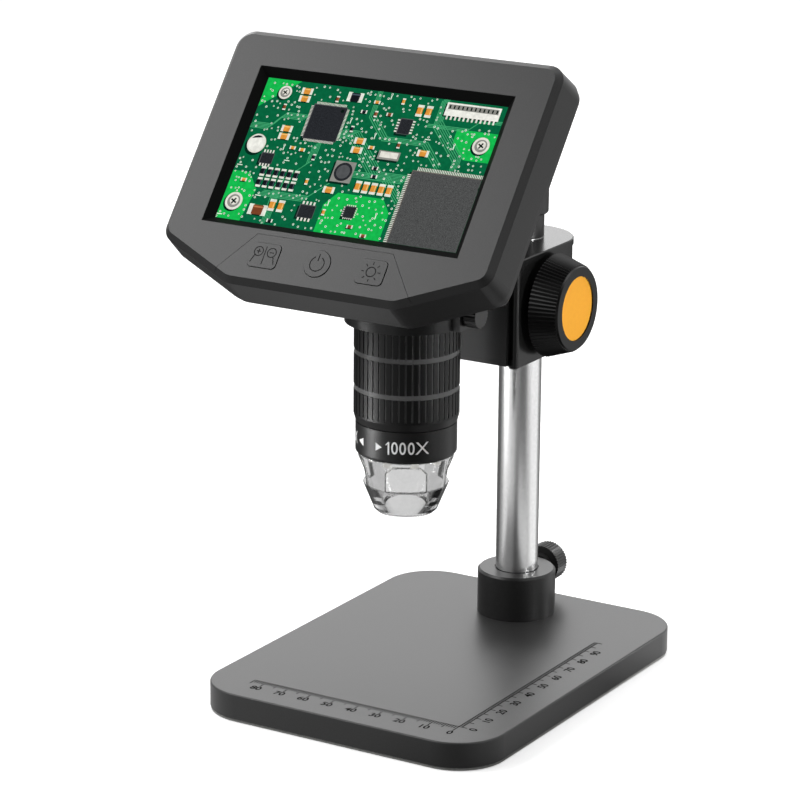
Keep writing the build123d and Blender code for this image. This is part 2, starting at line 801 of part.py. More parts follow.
with BuildPart() as holder_arm:
    arm_length = slide_front - barrel_y
    with BuildSketch(Plane.XY.offset(ring_bottom)):
        with Locations((0, barrel_y)):
            Circle(ring_radius)
            Rectangle(2 * arm_half_width, arm_length, align=(Align.CENTER, Align.MIN))
            Rectangle(
                clamp_boss_reach,
                2 * clamp_boss_half_width,
                align=(Align.MIN, Align.CENTER),
            )
        with Locations((0, slide_front)):
            Rectangle(
                2 * arm_foot_half_width,
                arm_foot_thickness,
                align=(Align.CENTER, Align.MAX),
            )
    extrude(amount=ring_height)
    with Locations((0, barrel_y, ring_top)):
        Hole(ring_bore, depth=ring_height)
    with Locations(Plane((clamp_boss_reach, barrel_y, ring_middle), z_dir=(1, 0, 0))):
        Hole(clamp_shank_radius + running_gap, depth=clamp_boss_reach - neck_radius + 1)
    arm_foot_front = slide_front - arm_foot_thickness
    with Locations(Plane((0, arm_foot_front, ring_middle), x_dir=(1, 0, 0), z_dir=(0, -1, 0))):
        with GridLocations(2 * arm_screw_spread, 1, 2, 1):
            Hole(arm_screw_radius + seat_gap, depth=arm_foot_thickness)

with BuildPart() as arm_screws:
    with Locations(Plane((0, arm_foot_front, ring_middle), x_dir=(1, 0, 0), z_dir=(0, -1, 0))):
        with GridLocations(2 * arm_screw_spread, 1, 2, 1):
            Cylinder(
                arm_screw_radius,
                arm_screw_length,
                align=(Align.CENTER, Align.CENTER, Align.MAX),
            )
            Cylinder(
                arm_screw_head,
                arm_screw_radius,
                align=(Align.CENTER, Align.CENTER, Align.MIN),
            )

with BuildPart() as ring_clamp:
    clamp_plane = Plane((clamp_start, barrel_y, ring_middle), x_dir=(0, 1, 0), z_dir=(1, 0, 0))
    with BuildSketch(clamp_plane):
        Polygon(*knurl_points(clamp_knob_radius, clamp_knob_rib_depth, clamp_knob_ribs))
    extrude(amount=clamp_knob_length)
    with BuildSketch(clamp_plane):
        Circle(clamp_shank_radius)
    extrude(amount=-(clamp_start - neck_radius - clamp_point_gap))

# ================================================================== barrel
with BuildPart() as barrel_core:
    with BuildSketch(Plane.XY.offset(core_bottom)):
        with Locations((0, barrel_y)):
            Circle(core_radius)
    extrude(amount=ring_bottom + core_neck_length - core_bottom)
    with BuildSketch(Plane.XY.offset(ring_bottom)):
        with Locations((0, barrel_y)):
            Circle(neck_radius - neck_wall - seat_gap)
    extrude(amount=core_neck_length)
    with Locations((0, barrel_y, ring_bottom + core_neck_length)):
        Hole(core_radius - core_wall, depth=ring_bottom + core_neck_length - core_bottom)
    # straight slots that keep the lens carrier from turning
    with BuildSketch(Plane((0, barrel_y, carrier_middle), x_dir=(0, 1, 0), z_dir=(1, 0, 0))):
        SlotCenterToCenter(
            2 * (carrier_travel + moving_gap),
            2 * (pin_radius + running_gap),
            rotation=90,
        )
    extrude(amount=core_radius + 1, both=True, mode=Mode.SUBTRACT)
    # ledge that the sensor's board lies on
    with BuildSketch(Plane.XY.offset(sensor_board_bottom - sensor_board_thickness)):
        with Locations((0, barrel_y)):
            Circle(core_radius - core_wall + seat_gap)
            Circle(sensor_board_radius - 2, mode=Mode.SUBTRACT)
    extrude(amount=sensor_board_thickness)

with BuildPart() as mark_ring:
    with BuildSketch(Plane.XY.offset(mark_ring_bottom)):
        with Locations((0, barrel_y)):
            Circle(mark_ring_radius)
    extrude(amount=mark_ring_height)
    fillet(mark_ring.edges().group_by(Axis.Z)[0], mark_ring_round)
    with Locations((0, barrel_y, mark_ring_top)):
        Hole(core_radius + seat_gap, depth=mark_ring_height)

grip_radius = focus_ring_radius - grip_groove_depth
grip_bottom = focus_ring_bottom + grip_groove_end
pin_room = carrier_travel + pin_radius + moving_gap
with BuildPart() as focus_ring:
    with BuildSketch(Plane.XZ.offset(-barrel_y)):
        with Locations((focus_ring_bore, focus_ring_bottom)):
            Rectangle(
                focus_ring_radius - focus_ring_bore,
                focus_ring_height,
                align=(Align.MIN, Align.MIN),
            )
        # taper at the foot, two bands across the ribs, and room for the drive pins
        Polygon(
            (focus_ring_radius, focus_ring_bottom),
            (focus_ring_radius, focus_ring_bottom + focus_taper_height),
            (focus_ring_radius - focus_taper_depth, focus_ring_bottom),
            mode=Mode.SUBTRACT,
        )
        for drop in grip_band_drops:
            with Locations((grip_radius, focus_ring_top - drop)):
                Rectangle(
                    grip_groove_depth,
                    grip_band_height,
                    align=(Align.MIN, Align.MAX),
                    mode=Mode.SUBTRACT,
                )
        with Locations((focus_ring_bore, carrier_middle)):
            Rectangle(
                pin_relief_radius - focus_ring_bore,
                2 * pin_room,
                align=(Align.MIN, Align.CENTER),
                mode=Mode.SUBTRACT,
            )
    revolve(axis=Axis((0, barrel_y, 0), (0, 0, 1)))
    # narrow upright grooves between the ribs
    with BuildSketch(Plane.XY.offset(grip_bottom)):
        with Locations((0, barrel_y)):
            with PolarLocations(grip_radius, grip_rib_count):
                Rectangle(
                    2 * grip_groove_depth,
                    grip_groove_width,
                    align=(Align.MIN, Align.CENTER),
                )
    extrude(amount=focus_ring_top - grip_bottom, mode=Mode.SUBTRACT, clean=False)

with BuildPart() as lens_carrier:
    with BuildSketch(Plane.XY.offset(carrier_bottom)):
        with Locations((0, barrel_y)):
            Circle(carrier_radius)
            Circle(carrier_bore, mode=Mode.SUBTRACT)
    extrude(amount=carrier_height)
    lens_bottom = carrier_bottom + retainer_height
    with Locations((0, barrel_y, carrier_bottom)):
        Cylinder(
            lens_radius + seat_gap,
            retainer_height + lens_edge,
            align=(Align.CENTER, Align.CENTER, Align.MIN),
            mode=Mode.SUBTRACT,
        )
    with BuildSketch(Plane((0, barrel_y, carrier_middle), x_dir=(0, 1, 0), z_dir=(1, 0, 0))):
        Circle(pin_radius + seat_gap)
    extrude(amount=carrier_radius + 1, both=True, mode=Mode.SUBTRACT)

with BuildPart() as drive_pins:
    for side in (-1, 1):
        pin_root = carrier_bore + pin_radius / 2
        with BuildSketch(Plane((side * pin_root, barrel_y, carrier_middle), z_dir=(side, 0, 0))):
            Circle(pin_radius)
        extrude(amount=pin_reach - pin_root)

with BuildPart() as objective_lens:
    with BuildSketch(Plane.XZ.offset(-barrel_y)):
        with BuildLine():
            Line((0, lens_bottom), (0, lens_bottom + lens_edge))
            ThreePointArc(
                (0, lens_bottom + lens_edge),
                (lens_radius / 2, lens_bottom + lens_edge - lens_bulge / 4),
                (lens_radius, lens_bottom + lens_edge - lens_bulge),
            )
            Line(
                (lens_radius, lens_bottom + lens_edge - lens_bulge),
                (lens_radius, lens_bottom),
            )
            Line((lens_radius, lens_bottom), (0, lens_bottom))
        make_face()
    revolve(axis=Axis((0, barrel_y, 0), (0, 0, 1)))

with BuildPart() as lens_retainer:
    with BuildSketch(Plane.XY.offset(carrier_bottom)):
        with Locations((0, barrel_y)):
            Circle(lens_radius)
            Circle(lens_radius - retainer_wall, mode=Mode.SUBTRACT)
    extrude(amount=retainer_height)

# ================================================================== clear cap and lights
with BuildPart() as clear_cap:
    cap_waist = cap_bottom + cap_waist_rise
    cap_foot = cap_bottom + cap_foot_rise
    with BuildSketch(Plane.XZ.offset(-barrel_y)):
        Polygon(
            (cap_mouth_radius, cap_bottom),
            (cap_tip_radius, cap_bottom),
            (cap_foot_radius, cap_foot),
            (cap_waist_radius, cap_waist),
            (cap_top_radius, mark_ring_bottom),
            (cap_top_radius - cap_wall, mark_ring_bottom),
            (cap_waist_radius - cap_wall, cap_waist),
            (cap_mouth_radius, cap_foot),
        )
    revolve(axis=Axis((0, barrel_y, 0), (0, 0, 1)))
    # arched windows with cut corners
    for step in range(cap_window_count):
        turn = radians(cap_window_turn + 360 * step / cap_window_count)
        window_plane = Plane(
            origin=(0, barrel_y, cap_waist),
            x_dir=(cos(turn), sin(turn), 0),
            z_dir=(sin(turn), -cos(turn), 0),
        )
        with BuildSketch(window_plane):
            half = cap_window_width / 2
            Polygon(
                (-half, 0),
                (half, 0),
                (half, cap_window_height - cap_window_corner),
                (half - cap_window_corner, cap_window_height),
                (-half + cap_window_corner, cap_window_height),
                (-half, cap_window_height - cap_window_corner),
            )
        extrude(amount=cap_top_radius + 1, mode=Mode.SUBTRACT)

with BuildPart() as led_board:
    with BuildSketch(Plane.XY.offset(core_bottom - led_board_thickness)):
        with Locations((0, barrel_y)):
            Circle(core_radius)
            Circle(led_board_bore, mode=Mode.SUBTRACT)
    extrude(amount=led_board_thickness)

with BuildPart() as leds:
    with Locations(Plane((0, barrel_y, core_bottom - led_board_thickness), z_dir=(0, 0, -1))):
        with PolarLocations(led_circle, led_count):
            Cylinder(
                led_radius,
                led_length - led_radius,
                align=(Align.CENTER, Align.CENTER, Align.MIN),
            )
    with Locations(Plane((0, barrel_y, core_bottom - led_board_thickness - led_length + led_radius))):
        with PolarLocations(led_circle, led_count):
            Sphere(led_radius)

with BuildPart() as sensor_board:
    with BuildSketch(Plane.XY.offset(sensor_board_bottom)):
        with Locations((0, barrel_y)):
            Circle(sensor_board_radius)
    extrude(amount=sensor_board_thickness)

with BuildPart() as image_sensor:
    with BuildSketch(Plane.XY.offset(sensor_board_bottom)):
        with Locations((0, barrel_y)):
            Rectangle(sensor_size, sensor_size)
    extrude(amount=-sensor_thickness)

# ================================================================== display head, casing
bezel_rear_grow = head_chamfer + head_flare


def bezel_block():
    """The front bezel's outer form, solid: chamfered front edge and slightly flared sides."""
    with BuildPart() as block:
        with BuildSketch(head_face.offset(-bezel_depth)):
            add(head_outline(bezel_rear_grow))
        extrude(amount=bezel_depth, taper=bezel_taper)
        front = block.faces().sort_by(Axis(head_origin, head_out))[-1]
        chamfer(front.edges(), head_chamfer)
    return block.part


def cover_block(shrink, front, depth):
    """The rear cover's form, shrunk all round: a straight rim, then sides that slope in."""
    with BuildPart() as block:
        with BuildSketch(head_face.offset(-front)):
            add(head_outline(bezel_rear_grow - cover_inset - shrink))
        extrude(amount=-cover_rim)
        with BuildSketch(head_face.offset(-front - cover_rim)):
            add(head_outline(bezel_rear_grow - cover_inset - shrink))
        extrude(amount=-(depth - cover_rim), taper=cover_slope)
    return block.part


def neck_block(radius, bottom, roof):
    """Upright round neck, cut off along the display's back and by a roof square to it."""
    with BuildPart() as block:
        with BuildSketch(Plane.XY.offset(bottom)):
            with Locations((0, barrel_y)):
                Circle(radius)
        extrude(amount=2 * screen_rise)
        with BuildSketch(head_face.offset(-cover_back)):
            Rectangle(8 * radius, 16 * radius)
        extrude(amount=16 * radius, mode=Mode.SUBTRACT)
        with BuildSketch(Plane(head_origin + head_up * roof, x_dir=(1, 0, 0), z_dir=head_up)):
            Rectangle(16 * radius, 16 * radius)
        extrude(amount=16 * radius, mode=Mode.SUBTRACT)
    return block.part


button_faces = {
    "zoom": (-button_side_x, zoom_size),
    "power": (0, 2 * power_radius),
    "light": (button_side_x, light_size),
}


def button_shape(name, grow):
    """Outline of one button on the current sketch, grown by grow."""
    x, width = button_faces[name]
    with Locations((x, -button_line)):
        if name == "power":
            Circle(power_radius + grow)
        else:
            RectangleRounded(width + 2 * grow, button_height + 2 * grow, button_corner + grow)


def panel_outline(grow):
    """Outline of the button panel on the current sketch, open past the head's lower edge."""
    reach = head_bottom + bezel_rear_grow + 1
    half_reach = panel_half_top + tan(radians(panel_slant)) * (reach - panel_top)
    Polygon(
        (-panel_half_top - grow, -panel_top + grow),
        (-half_reach - grow, -reach),
        (half_reach + grow, -reach),
        (panel_half_top + grow, -panel_top + grow),
    )


post_places = [
    (case_post_x, case_post_top),
    (-case_post_x, case_post_top),
    (case_post_x, -case_post_bottom),
    (-case_post_x, -case_post_bottom),
]
switch_front = panel_thickness + flange_gap + flange_thickness + switch_gap + plunger_height
button_board_front = switch_front + switch_height
button_post_x = button_board_half_width - 2
trunnion_end = button_height / 2 + flange_width + trunnion_reach
left_side = Plane(head_origin - Vector(head_half_width, 0, 0), x_dir=head_up, z_dir=(1, 0, 0))
trunnion_depth = panel_thickness + running_gap + trunnion_radius
board_post_places = []
for drop in board_post_drops:
    board_post_places += [(board_post_x, board_top - drop), (-board_post_x, board_top - drop)]

with BuildPart() as front_bezel:
    add(bezel_block())
    with BuildSketch(head_face.offset(-bezel_depth)):
        add(head_outline(bezel_rear_grow - head_wall))
    extrude(amount=bezel_depth - front_wall, taper=bezel_taper, mode=Mode.SUBTRACT)
    # posts for the case screws, and two that carry the button board
    with BuildSketch(head_face.offset(-front_wall)):
        with Locations(*post_places):
            Circle(case_post_radius)
    extrude(amount=-(bezel_depth - front_wall))
    with BuildSketch(head_face.offset(-front_wall)):
        with Locations(*board_post_places):
            Circle(board_post_radius)
    extrude(amount=-(board_front - front_wall))
    with BuildSketch(head_face.offset(-front_wall)):
        with Locations((-button_post_x, -button_line), (button_post_x, -button_line)):
            Circle(button_post_radius)
    extrude(amount=-(button_board_front - front_wall))
    # window, button panel's pocket and the holes behind the buttons
    with BuildSketch(head_face):
        Rectangle(recess_width, recess_height)
    extrude(amount=-front_wall, mode=Mode.SUBTRACT)
    with BuildSketch(head_face.offset(-panel_thickness)):
        panel_outline(panel_seam)
    extrude(amount=panel_thickness, mode=Mode.SUBTRACT)
    with BuildSketch(head_face):
        for button in button_faces:
            button_shape(button, flange_width + button_gap)
        with Locations((-button_side_x, -button_line)):
            Rectangle(2 * (trunnion_radius + running_gap), 2 * (trunnion_end + running_gap))
    extrude(amount=-front_wall, mode=Mode.SUBTRACT)
    with BuildSketch(head_face.offset(-bezel_depth)):
        with Locations(*post_places):
            Circle(case_screw_radius + seat_gap)
    extrude(amount=bezel_depth - front_wall - 1, mode=Mode.SUBTRACT)
    # charging port and card port in the left side
    with BuildSketch(left_side):
        with Locations((jack_y, -board_front + jack_height / 2)):
            RectangleRounded(
                jack_width + 2 * port_gap,
                jack_height + 2 * port_gap,
                jack_corner + port_gap,
            )
        with Locations((card_slot_y, -board_front + card_slot_height / 2)):
            Rectangle(card_slot_width - 4 * card_slot_wall, card_slot_height - 2 * card_slot_wall)
    extrude(amount=head_wall + bezel_rear_grow, both=True, mode=Mode.SUBTRACT)

with BuildPart() as screen_frame:
    with BuildSketch(head_face.offset(-frame_edge)):
        Rectangle(recess_width - 2 * seat_gap, recess_height - 2 * seat_gap)
    extrude(amount=-(screen_depth - frame_edge))
    with BuildSketch(head_face.offset(-frame_edge)):
        Rectangle(recess_width - 4 * frame_edge, recess_height - 4 * frame_edge)
    with BuildSketch(head_face.offset(-screen_depth)):
        Rectangle(screen_width, screen_height)
    loft(mode=Mode.SUBTRACT)

with BuildPart() as lcd_panel:
    with BuildSketch(head_face.offset(-screen_depth)):
        Rectangle(lcd_width, lcd_height)
    extrude(amount=-lcd_thickness)

with BuildPart() as button_panel:
    add(bezel_block())
    with BuildSketch(head_face.offset(-panel_thickness)):
        panel_outline(0)
    extrude(amount=panel_thickness, mode=Mode.INTERSECT)
    with BuildSketch(head_face):
        for button in button_faces:
            button_shape(button, button_gap)
    extrude(amount=-panel_thickness, mode=Mode.SUBTRACT)


def push_button(name, flange_drop):
    """Button cap with a flange behind the panel that keeps it in."""
    flange_front = panel_thickness + flange_drop
    with BuildPart() as piece:
        with BuildSketch(head_face.offset(button_proud)):
            button_shape(name, 0)
        extrude(amount=-(button_proud + flange_front))
        with BuildSketch(head_face.offset(-flange_front)):
            button_shape(name, flange_width)
        extrude(amount=-flange_thickness)
    return piece


power_button = push_button("power", flange_gap)
light_button = push_button("light", flange_gap)
with BuildPart() as zoom_rocker:
    add(push_button("zoom", rocker_flange_gap).part)
    rocker_axis = Plane(
        origin=head_origin
        + Vector(-button_side_x, 0, 0)
        - head_up * button_line
        - head_out * trunnion_depth,
        x_dir=(1, 0, 0),
        z_dir=head_up,
    )
    with BuildSketch(rocker_axis):
        Circle(trunnion_radius)
    extrude(amount=trunnion_end, both=True)

with BuildPart() as rear_cover:
    add(cover_block(0, cover_front, cover_depth))
    add(cover_block(head_wall, cover_front, cover_depth - head_wall), mode=Mode.SUBTRACT)
    with BuildSketch(head_face.offset(-cover_back)):
        with Locations(*post_places):
            Circle(case_screw_head + head_wall)
    extrude(amount=cover_depth)
    with BuildSketch(head_face.offset(-cover_back)):
        with Locations(*post_places):
            Circle(case_screw_head + seat_gap)
    extrude(amount=cover_depth / 2, mode=Mode.SUBTRACT)
    with BuildSketch(head_face.offset(-cover_back)):
        with Locations(*post_places):
            Circle(case_screw_radius + seat_gap)
    extrude(amount=cover_depth, mode=Mode.SUBTRACT)
    # window for the sensor's ribbon
    with BuildSketch(head_face.offset(-cover_back)):
        with Locations((sensor_ribbon_x, sensor_ribbon_t)):
            Rectangle(ribbon_width + 2, 10 * ribbon_thickness)
    extrude(amount=head_wall, mode=Mode.SUBTRACT)

with BuildPart() as case_screws:
    screw_seat = cover_back - cover_depth / 2
    with BuildSketch(head_face.offset(-screw_seat)):
        with Locations(*post_places):
            Circle(case_screw_head)
    extrude(amount=-case_screw_head_height)
    with BuildSketch(head_face.offset(-screw_seat)):
        with Locations(*post_places):
            Circle(case_screw_radius)
    extrude(amount=case_screw_length)
    with BuildSketch(head_face.offset(-screw_seat - case_screw_head_height)):
        with Locations(*post_places):
            RegularPolygon(case_screw_socket, 6)
    extrude(amount=case_screw_head_height / 2, mode=Mode.SUBTRACT)

with BuildPart() as neck_housing:
    add(neck_block(neck_radius, ring_bottom, neck_roof))
    roof = neck_housing.faces().filter_by(Plane(head_origin, z_dir=head_up)).sort_by(Axis.Z)[-1]
    fillet(roof.edges().filter_by(GeomType.LINE, reverse=True), neck_roof_round)
    with BuildSketch(Plane.XY.offset(ring_top + running_gap)):
        with Locations((0, barrel_y)):
            Circle(neck_radius + neck_shoulder)
    extrude(amount=neck_shoulder_height)
    add(neck_block(neck_radius - neck_wall, ring_bottom, neck_roof - neck_wall), mode=Mode.SUBTRACT)

# ================================================================== electronics
with BuildPart() as main_board:
    with BuildSketch(head_face.offset(-board_front)):
        with Locations((0, (board_top - board_bottom) / 2)):
            Rectangle(2 * board_half_width, board_top + board_bottom)
    extrude(amount=-board_thickness)

with BuildPart() as board_chips:
    for inset, rise, size, height in zip(chip_insets, chip_rises, chip_sizes, chip_heights):
        chip_x = board_half_width - inset if inset > 0 else -board_half_width - inset
        with BuildSketch(head_face.offset(-board_back)):
            with Locations((chip_x, (board_top - board_bottom) / 2 + rise)):
                Rectangle(*size)
        extrude(amount=-height)

with BuildPart() as battery:
    with BuildSketch(head_face.offset(-board_back - seat_gap)):
        with Locations((sensor_ribbon_x + ribbon_width / 2 + battery_gap, battery_y)):
            Rectangle(battery_width, battery_height, align=(Align.MIN, Align.CENTER))
    extrude(amount=-battery_thickness)
    fillet(battery.edges().filter_by(Axis.X), battery_thickness / 4)

with BuildPart() as usb_jack:
    with BuildSketch(left_side.offset(head_half_width - jack_start)):
        with Locations((jack_y, -board_front + jack_height / 2)):
            RectangleRounded(jack_width, jack_height, jack_corner)
            Rectangle(jack_width - 2 * jack_wall, jack_height - 2 * jack_wall, mode=Mode.SUBTRACT)
            Rectangle(jack_width / 2, jack_wall)
    extrude(amount=jack_depth)
    with BuildSketch(left_side.offset(head_half_width - jack_start + jack_depth - jack_wall)):
        with Locations((jack_y, -board_front + jack_height / 2)):
            Rectangle(jack_width - jack_wall, jack_height - jack_wall)
    extrude(amount=jack_wall)

with BuildPart() as card_slot:
    with BuildSketch(left_side.offset(head_half_width - card_slot_start)):
        with Locations((card_slot_y, -board_front + card_slot_height / 2)):
            Rectangle(card_slot_width, card_slot_height)
            Rectangle(
                card_slot_width - 2 * card_slot_wall,
                card_slot_height - 2 * card_slot_wall,
                mode=Mode.SUBTRACT,
            )
    extrude(amount=card_slot_depth)

with BuildPart() as button_board:
    with BuildSketch(head_face.offset(-button_board_front)):
        with Locations((0, -button_board_top)):
            Rectangle(
                2 * button_board_half_width,
                button_board_bottom - button_board_top,
                align=(Align.CENTER, Align.MAX),
            )
    extrude(amount=-button_board_thickness)

switch_xs = (-button_side_x - zoom_key_spread, -button_side_x + zoom_key_spread, 0, button_side_x)
with BuildPart() as key_switches:
    with BuildSketch(head_face.offset(-button_board_front)):
        for switch_x in switch_xs:
            with Locations((switch_x, -button_line)):
                Rectangle(switch_size, switch_size)
    extrude(amount=switch_height)
    with BuildSketch(head_face.offset(-switch_front)):
        for switch_x in switch_xs:
            with Locations((switch_x, -button_line)):
                Circle(plunger_radius)
    extrude(amount=plunger_height)


def ribbon(points, x):
    """Flat cable along a path of (distance up the face, depth below it), centred at x."""
    start = Plane(head_origin + Vector(x, 0, 0), x_dir=head_up, z_dir=(1, 0, 0))
    with BuildPart() as strip:
        with BuildSketch(start):
            with BuildLine(mode=Mode.PRIVATE) as path:
                Polyline(*[(up, -depth) for up, depth in points])
            trace(path.line, ribbon_thickness)
        extrude(amount=ribbon_width / 2, both=True)
    return strip


on_board_back = board_back + ribbon_thickness / 2
on_board_front = board_front - ribbon_thickness / 2
screen_top = lcd_height / 2
screen_ribbon = ribbon(
    [
        (screen_top, lcd_back - ribbon_bend),
        (screen_top + screen_ribbon_loop - ribbon_bend, lcd_back - ribbon_bend),
        (screen_top + screen_ribbon_loop, lcd_back),
        (screen_top + screen_ribbon_loop, on_board_front - ribbon_bend),
        (screen_top + screen_ribbon_loop - ribbon_bend, on_board_front),
        (board_top - ribbon_width, on_board_front),
    ],
    screen_ribbon_x,
)
on_button_board = button_board_front + button_board_thickness + ribbon_thickness / 2
button_ribbon = ribbon(
    [
        (-button_line, on_button_board),
        (-button_board_top + ribbon_bend, on_button_board),
        (-board_bottom, on_board_front),
        (-board_bottom + ribbon_width, on_board_front),
    ],
    button_ribbon_x,
)


def head_place(y, z):
    """Distance up the display's face and depth below it of a point in the middle plane."""
    offset_y = y - head_origin.Y
    offset_z = z - head_origin.Z
    up = offset_y * head_up.Y + offset_z * head_up.Z
    return up, -(offset_y * head_out.Y + offset_z * head_out.Z)


on_sensor_board = sensor_board_bottom + sensor_board_thickness + ribbon_thickness / 2
# the ribbon climbs the neck and turns into the head square to its back
window_depth = cover_back + head_wall
sensor_ribbon = ribbon(
    [
        head_place(barrel_y + sensor_size / 2, on_sensor_board),
        head_place(barrel_y - sensor_ribbon_reach, on_sensor_board),
        head_place(barrel_y - sensor_ribbon_reach - ribbon_bend / 2, on_sensor_board + ribbon_bend / 2),
        (sensor_ribbon_t, window_depth),
        (sensor_ribbon_t, on_board_back + ribbon_bend),
        (sensor_ribbon_t + ribbon_bend, on_board_back),
        (sensor_ribbon_t + ribbon_width, on_board_back),
    ],
    sensor_ribbon_x,
)

# ================================================================== export
pieces = {
    "base_pad": base_pad,
    "base_plate": base_plate,
    "collar": collar,
    "collar_screws": collar_screws,
    "base_thumbscrew": base_thumbscrew,
    "pole": pole,
    "pole_cap": pole_cap,
    "carriage_block": carriage_block,
    "carriage_cover": carriage_cover,
    "shaft_bushes": shaft_bushes,
    "carriage_thumbscrew": carriage_thumbscrew,
    "pinion_shaft": pinion_shaft,
    "focus_knob_right": focus_knob_right,
    "focus_knob_left": focus_knob_left,
    "knob_insert_right": knob_insert_right,
    "knob_insert_left": knob_insert_left,
    "knob_screws": knob_screws,
    "slide_plate": slide_plate,
    "rack": rack,
    "holder_arm": holder_arm,
    "arm_screws": arm_screws,
    "ring_clamp": ring_clamp,
    "barrel_core": barrel_core,
    "mark_ring": mark_ring,
    "focus_ring": focus_ring,
    "lens_carrier": lens_carrier,
    "drive_pins": drive_pins,
    "objective_lens": objective_lens,
    "lens_retainer": lens_retainer,
    "clear_cap": clear_cap,
    "led_board": led_board,
    "leds": leds,
    "sensor_board": sensor_board,
    "image_sensor": image_sensor,
    "front_bezel": front_bezel,
    "screen_frame": screen_frame,
    "lcd_panel": lcd_panel,
    "button_panel": button_panel,
    "power_button": power_button,
    "light_button": light_button,
    "zoom_rocker": zoom_rocker,
    "rear_cover": rear_cover,
    "case_screws": case_screws,
    "neck_housing": neck_housing,
    "main_board": main_board,
    "board_chips": board_chips,
    "battery": battery,
    "usb_jack": usb_jack,
    "card_slot": card_slot,
    "button_board": button_board,
    "key_switches": key_switches,
    "screen_ribbon": screen_ribbon,
    "button_ribbon": button_ribbon,
    "sensor_ribbon": sensor_ribbon,
}
for name, piece in pieces.items():
    piece.part.label = name
    export_step(piece.part, f"parts/{name}.step")
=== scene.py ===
"""LCD digital microscope on a rack-and-pinion stand: materials, prints, light and camera."""
import json
import math
import random

import bmesh
import bpy
from mathutils import Matrix, Vector


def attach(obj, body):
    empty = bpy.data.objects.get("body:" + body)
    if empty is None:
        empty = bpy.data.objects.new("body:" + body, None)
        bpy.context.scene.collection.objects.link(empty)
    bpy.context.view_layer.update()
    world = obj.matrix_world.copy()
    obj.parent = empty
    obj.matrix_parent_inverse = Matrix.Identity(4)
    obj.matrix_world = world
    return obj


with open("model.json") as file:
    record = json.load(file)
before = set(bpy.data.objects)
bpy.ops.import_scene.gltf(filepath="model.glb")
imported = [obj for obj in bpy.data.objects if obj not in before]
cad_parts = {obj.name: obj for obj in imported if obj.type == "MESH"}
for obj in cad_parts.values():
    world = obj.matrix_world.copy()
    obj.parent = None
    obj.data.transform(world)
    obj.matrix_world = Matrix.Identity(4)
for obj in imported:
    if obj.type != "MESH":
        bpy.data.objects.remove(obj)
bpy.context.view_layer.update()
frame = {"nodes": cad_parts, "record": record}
nodes = frame["nodes"]

MM = 0.001

# ------------------------------------------------------------------ sizes of the CAD, millimetres
BASE_TOP = 10.3                 # upper face of the base
BARREL_Y = -28.5                # upright axis of the barrel
POLE_Y = 54.0                   # upright axis of the pole
GRIP_PAD = 18.67                # radius that parts the grip's pads from its grooves and bands
GRIP_END = 110.5                # lower end of the grooves
MARK_RADIUS = 18.12             # magnification ring
HEAD_TILT = math.radians(38.0)  # the display leans back by this
HEAD_Y = -62.8                  # middle of the display's face
HEAD_Z = 207.0
PICTURE_WIDTH = 95.7
PICTURE_HEIGHT = 54.9
PICTURE_DEPTH = 2.8             # the picture lies this far behind the display's face
BUTTON_PROUD = 0.3              # the buttons stand this far out of the face
BUTTON_LINE = -39.9             # height of the row of buttons, up the face
BUTTON_SIDE = 21.2              # from the middle button to the outer ones
SKIN = 0.03                     # height of a print above the surface under it
LAYER = 0.02                    # height of one painted layer above the last


def on_base(x, y, height):
    return Vector((x, y, BASE_TOP + height)) * MM


def on_head(s, t, height):
    """A point of the display: s to the right, t up the face, height out of the face."""
    return Vector((
        s,
        HEAD_Y + t * math.sin(HEAD_TILT) - height * math.cos(HEAD_TILT),
        HEAD_Z + t * math.cos(HEAD_TILT) + height * math.sin(HEAD_TILT),
    )) * MM


def on_picture(s, t, height):
    return on_head(s, t, height - PICTURE_DEPTH)


def on_barrel(arc, z, height):
    """A point of the magnification ring: arc is measured round it from the front towards +X."""
    turn = arc / MARK_RADIUS
    reach = MARK_RADIUS + height
    return Vector((reach * math.sin(turn), BARREL_Y - reach * math.cos(turn), z)) * MM


def turned(x, y, along, across, turn):
    """The flat point that lies along and across from (x, y), both turned by turn radians."""
    c, s = math.cos(turn), math.sin(turn)
    return x + c * along - s * across, y + s * along + c * across


# ------------------------------------------------------------------ materials
NOISE_DETAIL = 3.0
RELIEF = 0.0001                 # height of the grain's relief, metres
CLEAR_EDGE = 0.8 * MM           # radius that the clear cap's edges seem to have
BLACK = (0.0, 0.0, 0.0, 1.0)
WHITE = (1.0, 1.0, 1.0, 1.0)


def srgb(red, green, blue):
    """8-bit screen colour to the linear colour that a shader takes."""
    out = []
    for value in (red, green, blue):
        value /= 255
        out.append(value / 12.92 if value <= 0.04045 else ((value + 0.055) / 1.055) ** 2.4)
    return (*out, 1.0)


def scaled(color, factor):
    return (*[min(1.0, c * factor) for c in color[:3]], 1.0)


def add(tree, kind, **values):
    """New shader node; the values go to its input sockets, with _ for a space in a name."""
    node = tree.nodes.new("ShaderNode" + kind)
    for socket, value in values.items():
        node.inputs[socket.replace("_", " ")].default_value = value
    return node


def worked(tree, kind, operation, first, second=None):
    """Math or VectorMath node; first is a socket, second is a socket or a value."""
    node = add(tree, kind)
    node.operation = operation
    tree.links.new(first, node.inputs[0])
    if isinstance(second, bpy.types.NodeSocket):
        tree.links.new(second, node.inputs[1])
    elif second is not None:
        node.inputs[1].default_value = second
    return node


def color_mix(tree, blend, fac, first, second):
    """Colour of a Mix node; fac and second are sockets or values, first is a socket."""
    mix = add(tree, "Mix")
    mix.data_type = "RGBA"
    mix.blend_type = blend
    tree.links.new(first, mix.inputs["A"])
    for socket, source in (("Factor", fac), ("B", second)):
        if isinstance(source, bpy.types.NodeSocket):
            tree.links.new(source, mix.inputs[socket])
        else:
            mix.inputs[socket].default_value = source
    return mix.outputs["Result"]


